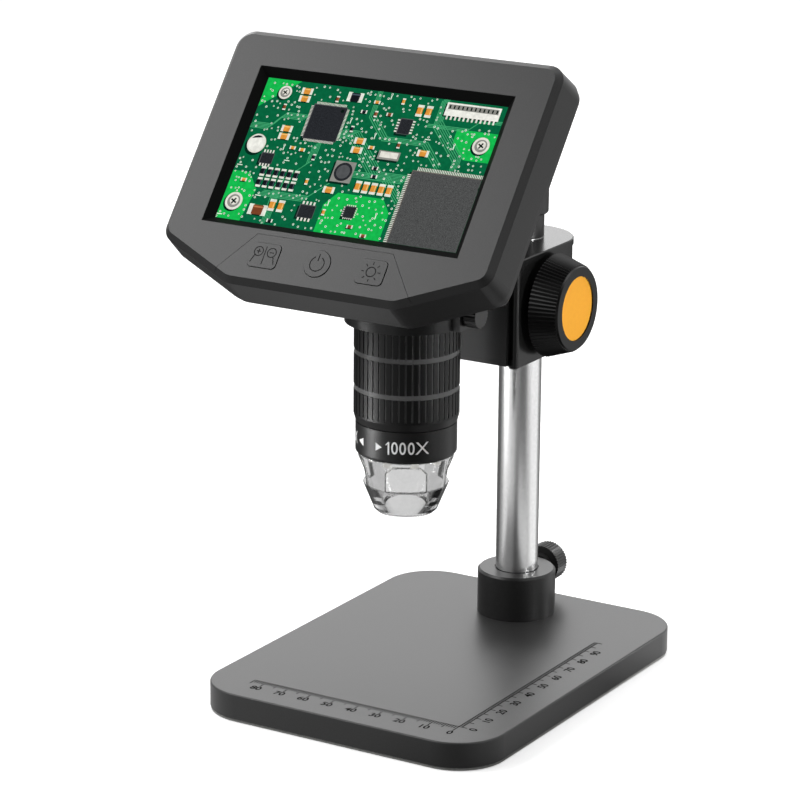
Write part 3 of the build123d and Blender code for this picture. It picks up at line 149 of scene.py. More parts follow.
def material(name, color, rough=0.5, metal=0.0, spec=0.5, vary=0.12, grain=900.0, bump=0.0,
             start=0.3, end=0.7, **sockets):
    """Surface whose colour and roughness vary with a fine noise.

    The colour changes while the noise goes from start to end, the roughness over all of it.
    """
    mat = bpy.data.materials.new(name)
    mat.use_nodes = True
    tree = mat.node_tree
    shader = tree.nodes["Principled BSDF"]
    shader.inputs["Metallic"].default_value = metal
    shader.inputs["Specular IOR Level"].default_value = spec
    for socket, value in sockets.items():
        shader.inputs[socket.replace("_", " ")].default_value = value
    place = add(tree, "TexCoord")
    noise = add(tree, "TexNoise", Scale=grain, Detail=NOISE_DETAIL)
    tree.links.new(place.outputs["Object"], noise.inputs["Vector"])
    ramp = add(tree, "ValToRGB")
    low, high = ramp.color_ramp.elements
    low.position, low.color = start, scaled(color, 1 - vary)
    high.position, high.color = end, scaled(color, 1 + vary)
    tree.links.new(noise.outputs["Fac"], ramp.inputs["Fac"])
    tree.links.new(ramp.outputs["Color"], shader.inputs["Base Color"])
    sheen = add(tree, "MapRange", To_Min=rough * (1 - vary / 2), To_Max=rough * (1 + vary / 2))
    tree.links.new(noise.outputs["Fac"], sheen.inputs["Value"])
    tree.links.new(sheen.outputs["Result"], shader.inputs["Roughness"])
    if bump:
        relief = add(tree, "Bump", Strength=bump, Distance=RELIEF)
        tree.links.new(noise.outputs["Fac"], relief.inputs["Height"])
        tree.links.new(relief.outputs["Normal"], shader.inputs["Normal"])
    return mat


def soft_edges(mat, radius):
    """Shade sharp edges as if they were rounded."""
    tree = mat.node_tree
    rounding = add(tree, "Bevel", Radius=radius)
    rounding.samples = 8
    tree.links.new(rounding.outputs["Normal"], tree.nodes["Principled BSDF"].inputs["Normal"])


def lit(name, color, vary, grain):
    """Part of the lit picture: black in itself, it glows in its own colour."""
    mat = material(
        name, color, rough=0.35, spec=0.0, vary=vary, grain=grain, start=0.35, end=0.65,
        Emission_Strength=1.0,
    )
    tree = mat.node_tree
    shader = tree.nodes["Principled BSDF"]
    base = shader.inputs["Base Color"]
    tree.links.new(base.links[0].from_socket, shader.inputs["Emission Color"])
    tree.links.remove(base.links[0])
    base.default_value = BLACK
    return mat


def cut_away(mat, axis, radius, floor, color):
    """A second colour for what lies above floor and nearer to an upright axis than radius."""
    tree = mat.node_tree
    shader = tree.nodes["Principled BSDF"]
    outer = shader.inputs["Base Color"].links[0].from_socket
    place = add(tree, "TexCoord").outputs["Object"]
    beside = worked(tree, "VectorMath", "SUBTRACT", place, axis)
    level = worked(tree, "VectorMath", "MULTIPLY", beside.outputs["Vector"], (1, 1, 0))
    reach = worked(tree, "VectorMath", "LENGTH", level.outputs["Vector"])
    inside = worked(tree, "Math", "LESS_THAN", reach.outputs["Value"], radius)
    parts = add(tree, "SeparateXYZ")
    tree.links.new(place, parts.inputs["Vector"])
    above = worked(tree, "Math", "GREATER_THAN", parts.outputs["Z"], floor)
    both = worked(tree, "Math", "MULTIPLY", inside.outputs["Value"], above.outputs["Value"])
    mixed = color_mix(tree, "MIX", both.outputs["Value"], outer, color)
    tree.links.new(mixed, shader.inputs["Base Color"])


# material of each slot in the record
finishes = {
    "case_black": material(
        "case", srgb(40, 40, 40), rough=0.34, spec=0.3, bump=0.15, grain=2500),
    "base_black": material(
        "base_paint", srgb(48, 48, 48), rough=0.38, spec=0.5, bump=0.2, grain=3000),
    "pad_foam": material("pad_foam", srgb(190, 190, 188), rough=0.9, spec=0.1),
    "black_metal": material("black_metal", srgb(30, 30, 30), rough=0.35, spec=0.4),
    "black_plastic": material("cap_plastic", srgb(34, 34, 34), rough=0.3, spec=0.4),
    "black_gloss": material("gloss_black", srgb(18, 18, 18), rough=0.25, spec=0.35),
    "black_rubber": material("knob_black", srgb(10, 10, 10), rough=0.36, spec=0.25),
    "grip_rubber": material("grip", srgb(30, 30, 30), rough=0.45, spec=0.35),
    "screen_black": material("screen_frame", srgb(9, 9, 9), rough=0.55, spec=0.06),
    "steel": material("steel", srgb(170, 170, 168), rough=0.3, metal=1.0),
    "satin_steel": material("pole_steel", srgb(235, 235, 235), rough=0.22, metal=1.0, vary=0.04),
    "brass": material("brass", srgb(200, 165, 90), rough=0.35, metal=1.0),
    "orange_plastic": material("orange", srgb(255, 178, 58), rough=0.55, spec=0.2, vary=0.03),
    "board_green": material("solder_mask", srgb(20, 90, 50), rough=0.4),
    "board_white": material("white_mask", srgb(225, 225, 220), rough=0.5),
    "chip_black": material("chip", srgb(30, 30, 30), rough=0.5),
    "battery_wrap": material("battery_foil", srgb(150, 155, 160), rough=0.35),
    "ribbon_orange": material("ribbon_film", srgb(200, 130, 50), rough=0.4),
    "lcd_glass": material("lcd_module", srgb(12, 12, 12), rough=0.2),
    "clear_plastic": material(
        "clear_plastic", srgb(228, 228, 228), rough=0.04, vary=0.03,
        Transmission_Weight=1.0, IOR=1.49),
    "led_white": material(
        "led_lens", srgb(245, 245, 240), rough=0.1, vary=0.03,
        Emission_Color=srgb(255, 252, 248), Emission_Strength=0.5),
    "lens_glass": material(
        "lens_glass", srgb(235, 240, 245), rough=0.02, vary=0.03, Transmission_Weight=1.0),
}
# nodes that look different from the rest of their slot
own_finishes = {
    "mark_ring": material("mark_ring", srgb(16, 16, 16), rough=0.3, spec=0.32),
    "focus_ring": material("grip_pads", srgb(5, 5, 5), rough=0.35, spec=0.25),
}
cut_away(
    own_finishes["focus_ring"], Vector((0, BARREL_Y, 0)) * MM, GRIP_PAD * MM, GRIP_END * MM,
    srgb(96, 96, 96),
)
soft_edges(finishes["clear_plastic"], CLEAR_EDGE)
for part in frame["record"]["subparts"]:
    node = nodes[part["node"]]
    node.data.materials.clear()
    node.data.materials.append(own_finishes.get(part["node"], finishes[part["material_slot"]]))


# ------------------------------------------------------------------ flat prints
FIGURE_SHARE = 0.7              # height of a figure as a share of the font's size
ARC_STEPS = 28
LINE_OVERLAP = 0.5              # a line is longer by this share of its width


class Print:
    """Flat coloured shapes in millimetres, gathered into one mesh and then laid on a surface."""

    def __init__(self, limits=None, mirrored=False):
        """limits are the half width and half height that it keeps; mirrored turns x round."""
        self.points, self.faces, self.paints = [], [], []
        self.limits = limits
        self.mirrored = mirrored

    def shape(self, outline, paint, layer=0):
        if self.mirrored:
            outline = [(-x, y) for x, y in reversed(outline)]
        if self.limits:
            outline = self.clip(outline)
        if len(outline) < 3:
            return
        start = len(self.points)
        self.points += [(x, y, layer) for x, y in outline]
        self.faces.append(range(start, len(self.points)))
        self.paints.append(paint)

    def clip(self, outline):
        """Keeps what lies inside the limits."""
        for axis, bound in enumerate(self.limits):
            for sign in (1, -1):
                kept = []
                for a, b in zip(outline, outline[1:] + outline[:1]):
                    inside_a, inside_b = sign * a[axis] <= bound, sign * b[axis] <= bound
                    if inside_a:
                        kept.append(a)
                    if inside_a != inside_b:
                        share = (sign * bound - a[axis]) / (b[axis] - a[axis])
                        kept.append(tuple(p + share * (q - p) for p, q in zip(a, b)))
                outline = kept
        return outline

    def box(self, x, y, width, height, paint, layer=0, turn=0.0):
        corners = [(-1, -1), (1, -1), (1, 1), (-1, 1)]
        self.shape(
            [turned(x, y, a * width / 2, b * height / 2, turn) for a, b in corners], paint, layer)

    def disc(self, x, y, radius, paint, layer, sides):
        self.shape(
            [turned(x, y, radius, 0, 2 * math.pi * k / sides) for k in range(sides)], paint, layer)

    def line(self, points, width, paint, layer=0):
        for (ax, ay), (bx, by) in zip(points, points[1:]):
            length = math.hypot(bx - ax, by - ay) + width * LINE_OVERLAP
            turn = math.atan2(by - ay, bx - ax)
            self.box((ax + bx) / 2, (ay + by) / 2, length, width, paint, layer, turn)

    def arc(self, x, y, radius, start, end, width, paint):
        """Part of a ring; angles in degrees, anticlockwise from +x."""
        inner, outer = radius - width / 2, radius + width / 2
        step = (end - start) / ARC_STEPS
        turns = [math.radians(start + step * k) for k in range(ARC_STEPS + 1)]
        for a, b in zip(turns, turns[1:]):
            corners = ((inner, a), (outer, a), (outer, b), (inner, b))
            self.shape([turned(x, y, reach, 0, turn) for reach, turn in corners], paint)

    def words(self, text, x, y, height, paint, turn=0.0, stretch=1.0, align="CENTER", bold=0.0):
        """Plain figures, height tall, level with y, aligned at x and turned by turn degrees."""
        curve = bpy.data.curves.new("figures", "FONT")
        curve.body = text
        curve.align_x = align
        curve.align_y = "CENTER"
        curve.size = height / FIGURE_SHARE
        curve.offset = bold
        shaped = bpy.data.objects.new("figures", curve)
        bpy.context.scene.collection.objects.link(shaped)
        bpy.context.view_layer.update()
        evaluated = shaped.evaluated_get(bpy.context.evaluated_depsgraph_get())
        mesh = bpy.data.meshes.new_from_object(evaluated)
        for face in mesh.polygons:
            flat = [mesh.vertices[v].co for v in face.vertices]
            self.shape(
                [turned(x, y, p.x * stretch, p.y, math.radians(turn)) for p in flat], paint)
        bpy.data.objects.remove(shaped)
        bpy.data.curves.remove(curve)
        bpy.data.meshes.remove(mesh)

    def lay(self, name, body, slot, place, paints, height=SKIN, cut_every=None):
        """Makes the piece: place maps x, y and a height, in millimetres, to a point in metres.

        cut_every cuts the shapes across at that spacing, so that they bend round the barrel.
        """
        names = list(paints)
        work = bmesh.new()
        corners = [work.verts.new(p) for p in self.points]
        for face, paint in zip(self.faces, self.paints):
            made = work.faces.new([corners[k] for k in face])
            made.material_index = names.index(paint)
        if cut_every:
            low = min(p[0] for p in self.points)
            high = max(p[0] for p in self.points)
            x = low + cut_every
            while x < high:
                parts = work.verts[:] + work.edges[:] + work.faces[:]
                bmesh.ops.bisect_plane(
                    work, geom=parts, plane_co=(x, 0, 0), plane_no=(1, 0, 0), dist=1e-5)
                x += cut_every
        for corner in work.verts:
            x, y, layer = corner.co
            corner.co = place(x, y, height + layer * LAYER)
        mesh = bpy.data.meshes.new(name)
        work.to_mesh(mesh)
        work.free()
        for paint in names:
            mesh.materials.append(paints[paint])
        piece = bpy.data.objects.new(name, mesh)
        bpy.context.scene.collection.objects.link(piece)
        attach(piece, body)


# ------------------------------------------------------------------ rulers on the base
RULER_X = 42.8                  # both rulers start here
RULER_Y = -62.5
FRONT_LENGTH = 85               # along -X
SIDE_LENGTH = 100               # along +Y
TICK = 0.4                      # width of a tick
RULE = 0.3                      # width of the long lines
TEN_TICK, FIVE_TICK, UNIT_TICK = 4.6, 3.6, 2.2
SIDE_TICK = 3.2                 # every fifth tick of the side ruler
SIDE_BAND = 1.3                 # between its two long lines, and its other ticks
FIGURE = 3.0                    # height of the figures
FIGURE_BOLD = 0.08
FRONT_FIGURES = -6.6            # middle of the figures, from the ruler's line
SIDE_FIGURES = 5.9
TENS_SHIFT = 0.45               # the front ruler's figures from 10 on lie this much to the left

ruler_ink = material("ruler_ink", srgb(6, 6, 6), rough=0.8, spec=0.02)
rulers = Print()
for step in range(FRONT_LENGTH + 1):
    reach = TEN_TICK if step % 10 == 0 else FIVE_TICK if step % 5 == 0 else UNIT_TICK
    rulers.box(RULER_X - step, RULER_Y - reach / 2, TICK, reach, "ink")
for step in range(SIDE_LENGTH + 1):
    reach = SIDE_TICK if step % 5 == 0 else SIDE_BAND
    rulers.box(RULER_X + reach / 2, RULER_Y + step, reach, TICK, "ink")
rulers.box(RULER_X - FRONT_LENGTH / 2, RULER_Y, FRONT_LENGTH, RULE, "ink")
for side in (0, SIDE_BAND):
    rulers.box(RULER_X + side, RULER_Y + SIDE_LENGTH / 2, RULE, SIDE_LENGTH, "ink")
for step in range(0, 90, 10):
    x = RULER_X - step - (TENS_SHIFT if step else 0)
    rulers.words(str(step), x, RULER_Y + FRONT_FIGURES, FIGURE, "ink", bold=FIGURE_BOLD)
for step in range(0, 100, 10):
    rulers.words(
        str(step), RULER_X + SIDE_FIGURES, RULER_Y + step, FIGURE, "ink",
        turn=90, bold=FIGURE_BOLD,
    )
rulers.lay("base_rulers", "base", "base_black", on_base, {"ink": ruler_ink})

# ------------------------------------------------------------------ marks on the magnification ring
MARK_Z = 100.9
MARK_HEIGHT = 4.6
MARK_CUT = 0.7                  # the marks are cut this often to bend round the ring
DEGREE = math.pi / 180 * MARK_RADIUS

# outlines with corners at degrees round the ring from the front and at a height
RIGHT_ARROW = ((-5.3, 99.4), (2.7, 100.9), (-5.3, 102.4))
ONE_FLAG = ((6.9, 102.0), (8.6, 102.0), (10.9, 102.9), (10.9, 103.5))
LEFT_ARROW = ((-25.3, 99.6), (-25.3, 102.6), (-35.0, 101.1))


def round_ring(outline):
    return [(degrees * DEGREE, z) for degrees, z in outline]


white_ink = material("white_ink", srgb(240, 240, 240), rough=0.5, spec=0.2, vary=0.03)
marks = Print()
marks.shape(round_ring(RIGHT_ARROW), "ink")
marks.box(10.9 * DEGREE, MARK_Z, 0.62, MARK_HEIGHT, "ink")
marks.shape(round_ring(ONE_FLAG), "ink")
for degrees in (17.9, 27.0, 36.6):
    marks.words(
        "0", degrees * DEGREE, MARK_Z, MARK_HEIGHT - 0.2, "ink", stretch=0.82, bold=0.07)
marks.words("X", 49.2 * DEGREE, MARK_Z, MARK_HEIGHT, "ink", stretch=1.1)
marks.shape(round_ring(LEFT_ARROW), "ink")
marks.words("50X", -40.5 * DEGREE, MARK_Z + 0.3, MARK_HEIGHT, "ink", stretch=0.9, align="RIGHT")
marks.lay(
    "ring_marks", "microscope", "case_black", on_barrel, {"ink": white_ink}, cut_every=MARK_CUT)

# ------------------------------------------------------------------ signs on the buttons, with painted shade for their engraved grooves
SIGN_LINE = 0.32
SIGN_BOLD = SIGN_LINE * 1.1
GLASS = 1.7                     # radius of a magnifier, and length of its plus and minus
RAYS = 8

# The signs are engraved in the buttons, but no groove is cut: thin dark strips of painted shade,
# laid on the face, stand in for the shade in the grooves.
sign_groove_shade = material("engraved_groove_shade", srgb(20, 20, 20), rough=0.6, spec=0.1)


def magnifier(sheet, x, y, plus):
    """Magnifier with a plus and its handle down to the left, or a minus and it to the right."""
    side = -1 if plus else 1
    sheet.arc(x, y, GLASS, 0, 360, SIGN_LINE, "ink")
    sheet.box(x, y, GLASS, SIGN_LINE, "ink")
    if plus:
        sheet.box(x, y, SIGN_LINE, GLASS, "ink", 1)
    sheet.line([(x + side * 1.0, y - 1.35), (x + side * 2.1, y - 4.2)], SIGN_LINE, "ink")


zoom_sign = Print()
magnifier(zoom_sign, -BUTTON_SIDE - 2.6, BUTTON_LINE + 1.3, True)
magnifier(zoom_sign, -BUTTON_SIDE + 2.6, BUTTON_LINE + 1.3, False)
zoom_sign.box(-BUTTON_SIDE, BUTTON_LINE, SIGN_LINE, 6.8, "ink")
power_sign = Print()
power_sign.arc(0, BUTTON_LINE - 0.1, 2.7, -242, 62, SIGN_BOLD, "ink")
power_sign.box(0, BUTTON_LINE + 2.3, SIGN_BOLD, 2.6, "ink", 1)
light_sign = Print()
light_sign.arc(BUTTON_SIDE, BUTTON_LINE, 1.75, 0, 360, SIGN_BOLD, "ink")
for ray in range(RAYS):
    turn = 2 * math.pi * ray / RAYS
    ends = [turned(BUTTON_SIDE, BUTTON_LINE, reach, 0, turn) for reach in (2.7, 3.6)]
    light_sign.line(ends, SIGN_LINE, "ink")
for name, sheet, body in (
    ("zoom_sign", zoom_sign, "zoom_rocker"),
    ("power_sign", power_sign, "power_button"),
    ("light_sign", light_sign, "light_button"),
):
    sheet.lay(name, body, "case_black", on_head, {"ink": sign_groove_shade}, height=BUTTON_PROUD + SKIN)

# ------------------------------------------------------------------ picture on the screen
# A made-up circuit board seen from above: pours, tracks, vias and plain parts. Places are in
# millimetres from the picture's middle, with x to the left, because the picture is mirrored.
POUR, TRACK, SILK, SHADE, PAD, BODY, TOP, MARK = range(1, 9)
UPRIGHT = math.pi / 2
SIDES = 28                      # of a large disc
TRACK_PITCH = 0.75
TRACK_WIDTH = 0.3
VIA = 0.42
EDGE_X, EDGE_Y = 47, 27         # the scattered parts keep inside these
PART_TRIES = 420
PART_ROOM, PART_CLAIM = 1.6, 1.3    # half side of the room that a part needs, and then takes
TWO_ENDED_SHARE = 0.3           # of the places found
MARKED_SHARE = 0.45             # that share and the marked vias together
VIA_TRIES = 1600
VIA_ROOM, VIA_CLAIM = 0.55, 0.35

picture = Print(limits=(PICTURE_WIDTH / 2, PICTURE_HEIGHT / 2), mirrored=True)
draw = random.Random(11)
taken = []                      # oblongs that are full: middle, half width and half height


def claim(x, y, half_x, half_y):
    taken.append((x, y, half_x, half_y))


def free(x, y, half_x, half_y):
    return all(abs(x - a) > half_x + c or abs(y - b) > half_y + d for a, b, c, d in taken)


def via(x, y, radius=VIA):
    picture.disc(x, y, radius, "silk", SILK, 10)
    picture.disc(x, y, radius * 0.5, "hole", PAD, 8)


def two_ended(x, y, length, width, paint, turn=0.0):
    """Resistor or capacitor: a body between two tinned ends, on its pads."""
    picture.box(x + 0.3, y - 0.35, length + 0.2, width + 0.2, "shade", SHADE, turn)
    for side in (-1, 1):
        px, py = turned(x, y, side * length * 0.42, 0, turn)
        picture.box(px, py, length * 0.3, width * 1.12, "silk", SHADE + 0.5, turn)
        picture.box(px, py, length * 0.2, width, "tin", BODY, turn)
    picture.box(x, y, length * 0.66, width, paint, BODY, turn)
    px, py = turned(x, y, 0, width * 0.3, turn)
    picture.box(px, py, length * 0.6, width * 0.16, paint + "_lit", TOP, turn)


def chip(x, y, width, height, pins_x, pins_y, paint="chip", pin=0.9):
    """Chip with pins_x legs on its top and on its bottom and pins_y on each side."""
    picture.box(x + 0.7, y - 0.8, width, height, "shade", SHADE)
    for side in (-1, 1):
        for k in range(pins_x):
            px = x + (k + 0.5 - pins_x / 2) * width * 0.9 / pins_x
            py = y + side * (height / 2 + pin / 2)
            picture.box(px, py, 0.45 * width / pins_x, pin, "tin", PAD)
        for k in range(pins_y):
            px = x + side * (width / 2 + pin / 2)
            py = y + (k + 0.5 - pins_y / 2) * height * 0.9 / pins_y
            picture.box(px, py, pin, 0.45 * height / pins_y, "tin", PAD)
    picture.box(x, y, width, height, paint + "_edge", BODY)
    picture.box(x - 0.1, y - 0.1, width - 0.5, height - 0.5, paint, TOP)
    dot = min(width, height) * 0.05
    picture.disc(x - width * 0.38, y + height * 0.38, dot, "hole", MARK, 12)
    claim(x, y, width / 2 + pin, height / 2 + pin)


def screw(x, y, radius):
    """Screw head with a cross slot in its bare ring."""
    picture.disc(x + 0.4, y - 0.5, radius * 1.05, "shade", SHADE, SIDES)
    picture.disc(x, y, radius, "tin", PAD, SIDES)
    picture.disc(x, y, radius * 0.74, "steel", BODY, SIDES)
    picture.disc(x - 0.15, y + 0.2, radius * 0.5, "tin", TOP, SIDES)
    for turn in (0.5, 0.5 + math.pi / 2):
        picture.box(x, y, radius * 0.75, radius * 0.18, "hole", MARK, turn)
    claim(x, y, radius, radius)


def bundle(points, count):
    """Tracks side by side along one path of points."""
    for k in range(count):
        shift = (k - (count - 1) / 2) * TRACK_PITCH * 0.7
        path = [(x + shift, y - shift) for x, y in points]
        picture.line(path, TRACK_WIDTH, "track", TRACK)


picture.box(0, 0, PICTURE_WIDTH, PICTURE_HEIGHT, "board")
for outline in (
    [(20, 27.4), (34, 27.4), (47.8, 16), (47.8, 27.4)],
    [(-14, -12), (4, -12), (8, -17), (8, -27.4), (-18, -27.4), (-18, -17)],
    [(-47.8, 6), (-38, 6), (-32, 12), (-32, 17), (-47.8, 17)],
    [(38, -27.4), (47.8, -27.4), (47.8, -9), (41, -9), (36, -15)],
):
    picture.shape(outline, "pour", POUR)
bundle([(-20, -4), (-8, -4), (6, 10), (12, 10)], 7)
bundle([(-20, -12), (-12, -4.5), (4, -4.5), (16, -16), (34, -16)], 5)
bundle([(19, 5), (19, -2), (28, -11), (28, -27)], 6)
bundle([(27, 14), (36, 14), (40, 9), (48, 9)], 5)
bundle([(-36, 2), (-36, 6), (-24, 18), (-24, 28)], 6)
bundle([(-30, 2), (-22, 10), (-6, 10), (2, 18), (2, 28)], 4)
bundle([(-48, 21), (-40, 21), (-36, 17), (-20, 17)], 3)

# large processor that runs out of the picture, the other chips, and screws
chip(-37, -15.5, 32, 31, 44, 42, "big", pin=1.3)
chip(19, 13, 13.5, 13.5, 24, 24)
chip(36.5, -3, 5.2, 4.2, 4, 0, pin=1.1)
chip(13.5, -20.5, 6.4, 5.0, 4, 0, pin=1.2)
chip(-12, 15.5, 5.0, 6.0, 0, 5, pin=1.0)
chip(-3, -18.5, 4.4, 4.4, 5, 5, pin=0.5)
screw(43, -20.5, 3.4)
screw(-43, 12, 3.2)
screw(39, 22.5, 2.6)

# white plug row
picture.box(-35, 23.5, 21, 5.0, "shade", SHADE)
picture.box(-35.5, 24, 21, 5.0, "white", BODY)
picture.box(-35.5, 24.9, 19.5, 1.9, "steel", TOP)
for k in range(12):
    picture.box(-44.6 + 1.65 * k, 20.9, 0.7, 1.6, "tin", PAD)
    picture.box(-44.6 + 1.65 * k, 24.9, 0.6, 1.3, "hole", MARK)
claim(-35.5, 23, 11, 4.5)
# coil
picture.box(5.6, -4.9, 8.2, 8.2, "shade", SHADE)
picture.box(5, -4.2, 8, 8, "steel", BODY)
picture.disc(5, -4.2, 3.5, "chip", TOP, SIDES)
picture.disc(5, -4.2, 2.6, "chip_edge", MARK, SIDES)
claim(5, -4.2, 4.4, 4.4)
# can capacitor
picture.disc(43.2, 1.2, 3.9, "shade", SHADE, SIDES)
picture.disc(42.7, 2, 3.7, "tin", BODY, SIDES)
picture.disc(42.7, 2, 3.1, "white", TOP, SIDES)
picture.shape([turned(42.7, 2, 3.1, 0, a) for a in (0.6, 1.0, 1.4, 1.8, 2.2)], "chip", MARK)
claim(42.7, 2, 4, 4)
# crystal
picture.box(-9.5, 3.3, 8.6, 3.4, "shade", SHADE)
picture.box(-10, 4, 8.4, 3.3, "steel", BODY)
picture.box(-10, 4.2, 7.0, 2.2, "tin", TOP)
claim(-10, 4, 4.6, 2)

# rows of small parts
for y in (-8.0, -12.2):
    for k in range(6):
        two_ended(22.5 + 2.7 * k, y, 3.2, 1.7, "resistor", UPRIGHT)
claim(29.3, -10.1, 9, 4.2)
for k in range(5):
    two_ended(-15 + 3.1 * k, -8.8, 3.8, 2.1, "tan", UPRIGHT)
claim(-8.8, -8.8, 8, 2.4)
for x, y, turn in (
    (30.5, 24, 0), (30.5, 21, 0), (3, 4.5, 0), (3, 8, 0), (-19, 22, 1.57), (-15.5, 22, 1.57),
    (33, 6, 0), (33, 9, 0), (-22.5, 6.5, 0), (8, -11.5, 0), (24, -20, 1.57), (27.5, -20, 1.57),
):
    two_ended(x, y, 3.9, 2.2, "tan", turn)
    claim(x, y, 2.4, 2.4)
two_ended(32.5, -22.5, 6.4, 3.6, "brown")
claim(32.5, -22.5, 4, 2.6)
two_ended(11, 24, 5.4, 3.2, "resistor")
claim(11, 24, 3.6, 2.2)

# fields of small parts and vias in the room that is left
for _ in range(PART_TRIES):
    x, y = draw.uniform(-EDGE_X, EDGE_X), draw.uniform(-EDGE_Y, EDGE_Y)
    turn = draw.choice((0, UPRIGHT))
    if free(x, y, PART_ROOM, PART_ROOM):
        claim(x, y, PART_CLAIM, PART_CLAIM)
        kind = draw.random()
        if kind < TWO_ENDED_SHARE:
            two_ended(x, y, 2.1, 1.1, draw.choice(("resistor", "tan", "brown")), turn)
        elif kind < MARKED_SHARE:
            picture.box(x, y, 2.2, 0.35, "silk", SILK, turn)
            via(x, y + 0.9)
            via(x + 0.9, y - 0.9)
        else:
            via(x + draw.uniform(-0.4, 0.4), y + draw.uniform(-0.4, 0.4))
for _ in range(VIA_TRIES):
    x, y = draw.uniform(-EDGE_X, EDGE_X), draw.uniform(-EDGE_Y, EDGE_Y)
    if free(x, y, VIA_ROOM, VIA_ROOM):
        claim(x, y, VIA_CLAIM, VIA_CLAIM)
        via(x, y, draw.choice((0.3, 0.36, VIA)))

PICTURE_COLORS = {
    "board": (8, 100, 62), "pour": (22, 184, 78), "track": (66, 166, 112),
    "silk": (226, 244, 226), "shade": (4, 42, 30), "hole": (10, 26, 20),
    "tin": (226, 224, 214), "steel": (140, 140, 134), "white": (236, 236, 228),
    "chip": (40, 42, 46), "chip_edge": (82, 84, 86), "big": (78, 79, 79),
    "big_edge": (104, 98, 92), "tan": (218, 146, 58), "tan_lit": (246, 196, 120),
    "brown": (122, 66, 40), "brown_lit": (178, 112, 74), "resistor": (22, 24, 30),
    "resistor_lit": (74, 84, 96),
}
SPECKLED = ("big", "chip", "big_edge")
picture_paints = {}
for name, rgb in PICTURE_COLORS.items():
    vary, grain = (0.45, 4200) if name in SPECKLED else (0.1, 700)
    picture_paints[name] = lit("lit_" + name, srgb(*rgb), vary, grain)
picture.lay("screen_picture", "microscope", "lcd_glass", on_picture, picture_paints)

# ------------------------------------------------------------------ floor, light and camera
# Stops of around(): share of the turn, brightness. 0.5 is the camera's side, 0 and 1 the far side.
WALLS = ((0.0, 1.0), (0.4, 1.0), (0.46, 0.2), (0.54, 0.2), (0.6, 1.0), (1.0, 1.0))
BACK_WALL = ((0.0, 1.0), (0.07, 1.0), (0.16, 0.03), (0.84, 0.03), (0.93, 1.0), (1.0, 1.0))
GROUND = (
    (0.0, 0.25), (0.05, 0.15), (0.15, 0.08), (0.22, 0.33), (0.28, 0.72), (0.35, 0.8),
    (0.41, 0.62), (0.47, 0.25), (0.53, 0.1), (0.58, 0.12), (0.64, 0.45), (0.71, 0.95),
    (0.79, 1.0), (0.85, 0.4), (0.92, 0.12), (1.0, 0.2),
)
FRONT = math.radians(-59.0)     # direction from the object to the camera's side, about +Z
ROOM_TOP = (-0.45, 0.1, 0.89)   # direction in which the room's light is strongest
ROOM_LOW, ROOM_HIGH = 0.12, 0.75    # its strength square to that, and there
FLOOR_HALF = 3.0                # half its side, metres
FLOOR_DROP = 0.0002             # keeps the floor clear of the base, metres
FLOOR_GLOW = 0.5                # lifts the floor to white and leaves the shadow
FLOOR_DULL = (0.08, 0.08, 0.08, 1.0)    # the floor's colour as it lights the object
BARREL_LAMPS = 0.5              # distance of the barrel's lamps from its axis, metres


def around(tree, place, stops):
    """Brightness that changes with the direction round the origin of place."""
    turn = add(tree, "Mapping", Rotation=(0, 0, -FRONT))
    tree.links.new(place, turn.inputs["Vector"])
    sweep = add(tree, "TexGradient")
    sweep.gradient_type = "RADIAL"
    tree.links.new(turn.outputs["Vector"], sweep.inputs["Vector"])
    ramp = add(tree, "ValToRGB")
    ramp.color_ramp.interpolation = "EASE"
    while len(ramp.color_ramp.elements) < len(stops):
        ramp.color_ramp.elements.new(0.5)
    for element, (position, level) in zip(ramp.color_ramp.elements, stops):
        element.position = position
        element.color = (level, level, level, 1)
    tree.links.new(sweep.outputs["Fac"], ramp.inputs["Fac"])
    return ramp.outputs["Color"]


def patch(tree, place, centre, size, start, full, outside, inside):
    """Brightness of a soft-edged oval on the floor.

    It rises from outside to inside between start and full, shares of the way to the centre.
    """
    spot = add(tree, "Mapping")
    spot.vector_type = "TEXTURE"
    spot.inputs["Location"].default_value = centre
    spot.inputs["Scale"].default_value = size
    tree.links.new(place, spot.inputs["Vector"])
    sphere = add(tree, "TexGradient")
    sphere.gradient_type = "SPHERICAL"
    tree.links.new(spot.outputs["Vector"], sphere.inputs["Vector"])
    edge = add(tree, "MapRange", From_Min=start, From_Max=full, To_Min=outside, To_Max=inside)
    tree.links.new(sphere.outputs["Fac"], edge.inputs["Value"])
    return edge.outputs["Result"]


def joined(tree, fac, first, second):
    """Shader that is second where fac is 1, and first elsewhere."""
    mix = add(tree, "MixShader")
    tree.links.new(fac, mix.inputs["Fac"])
    tree.links.new(first, mix.inputs[1])
    tree.links.new(second, mix.inputs[2])
    return mix.outputs["Shader"]


def make_room():
    """White to the eye, dim on the camera's side in reflections, and lighting from above."""
    world = bpy.data.worlds.new("studio")
    bpy.context.scene.world = world
    world.use_nodes = True
    tree = world.node_tree
    tree.nodes.clear()
    path = add(tree, "LightPath")
    place = add(tree, "TexCoord").outputs["Generated"]
    backdrop = add(tree, "Background", Color=WHITE)
    room = add(tree, "Background", Color=WHITE)
    upward = worked(tree, "VectorMath", "DOT_PRODUCT", place, ROOM_TOP)
    shade = add(tree, "MapRange", From_Min=0.0, From_Max=1.0, To_Min=ROOM_LOW, To_Max=ROOM_HIGH)
    tree.links.new(upward.outputs["Value"], shade.inputs["Value"])
    tree.links.new(shade.outputs["Result"], room.inputs["Strength"])
    mirrored = add(tree, "Background")
    tree.links.new(around(tree, place, WALLS), mirrored.inputs["Color"])
    through = add(tree, "Background")
    tree.links.new(around(tree, place, BACK_WALL), through.inputs["Color"])
    seen = room.outputs["Background"]
    for ray, shader in (
        ("Is Glossy Ray", mirrored), ("Is Transmission Ray", through), ("Is Camera Ray", backdrop),
    ):
        seen = joined(tree, path.outputs[ray], seen, shader.outputs["Background"])
    output = add(tree, "OutputWorld")
    tree.links.new(seen, output.inputs["Surface"])


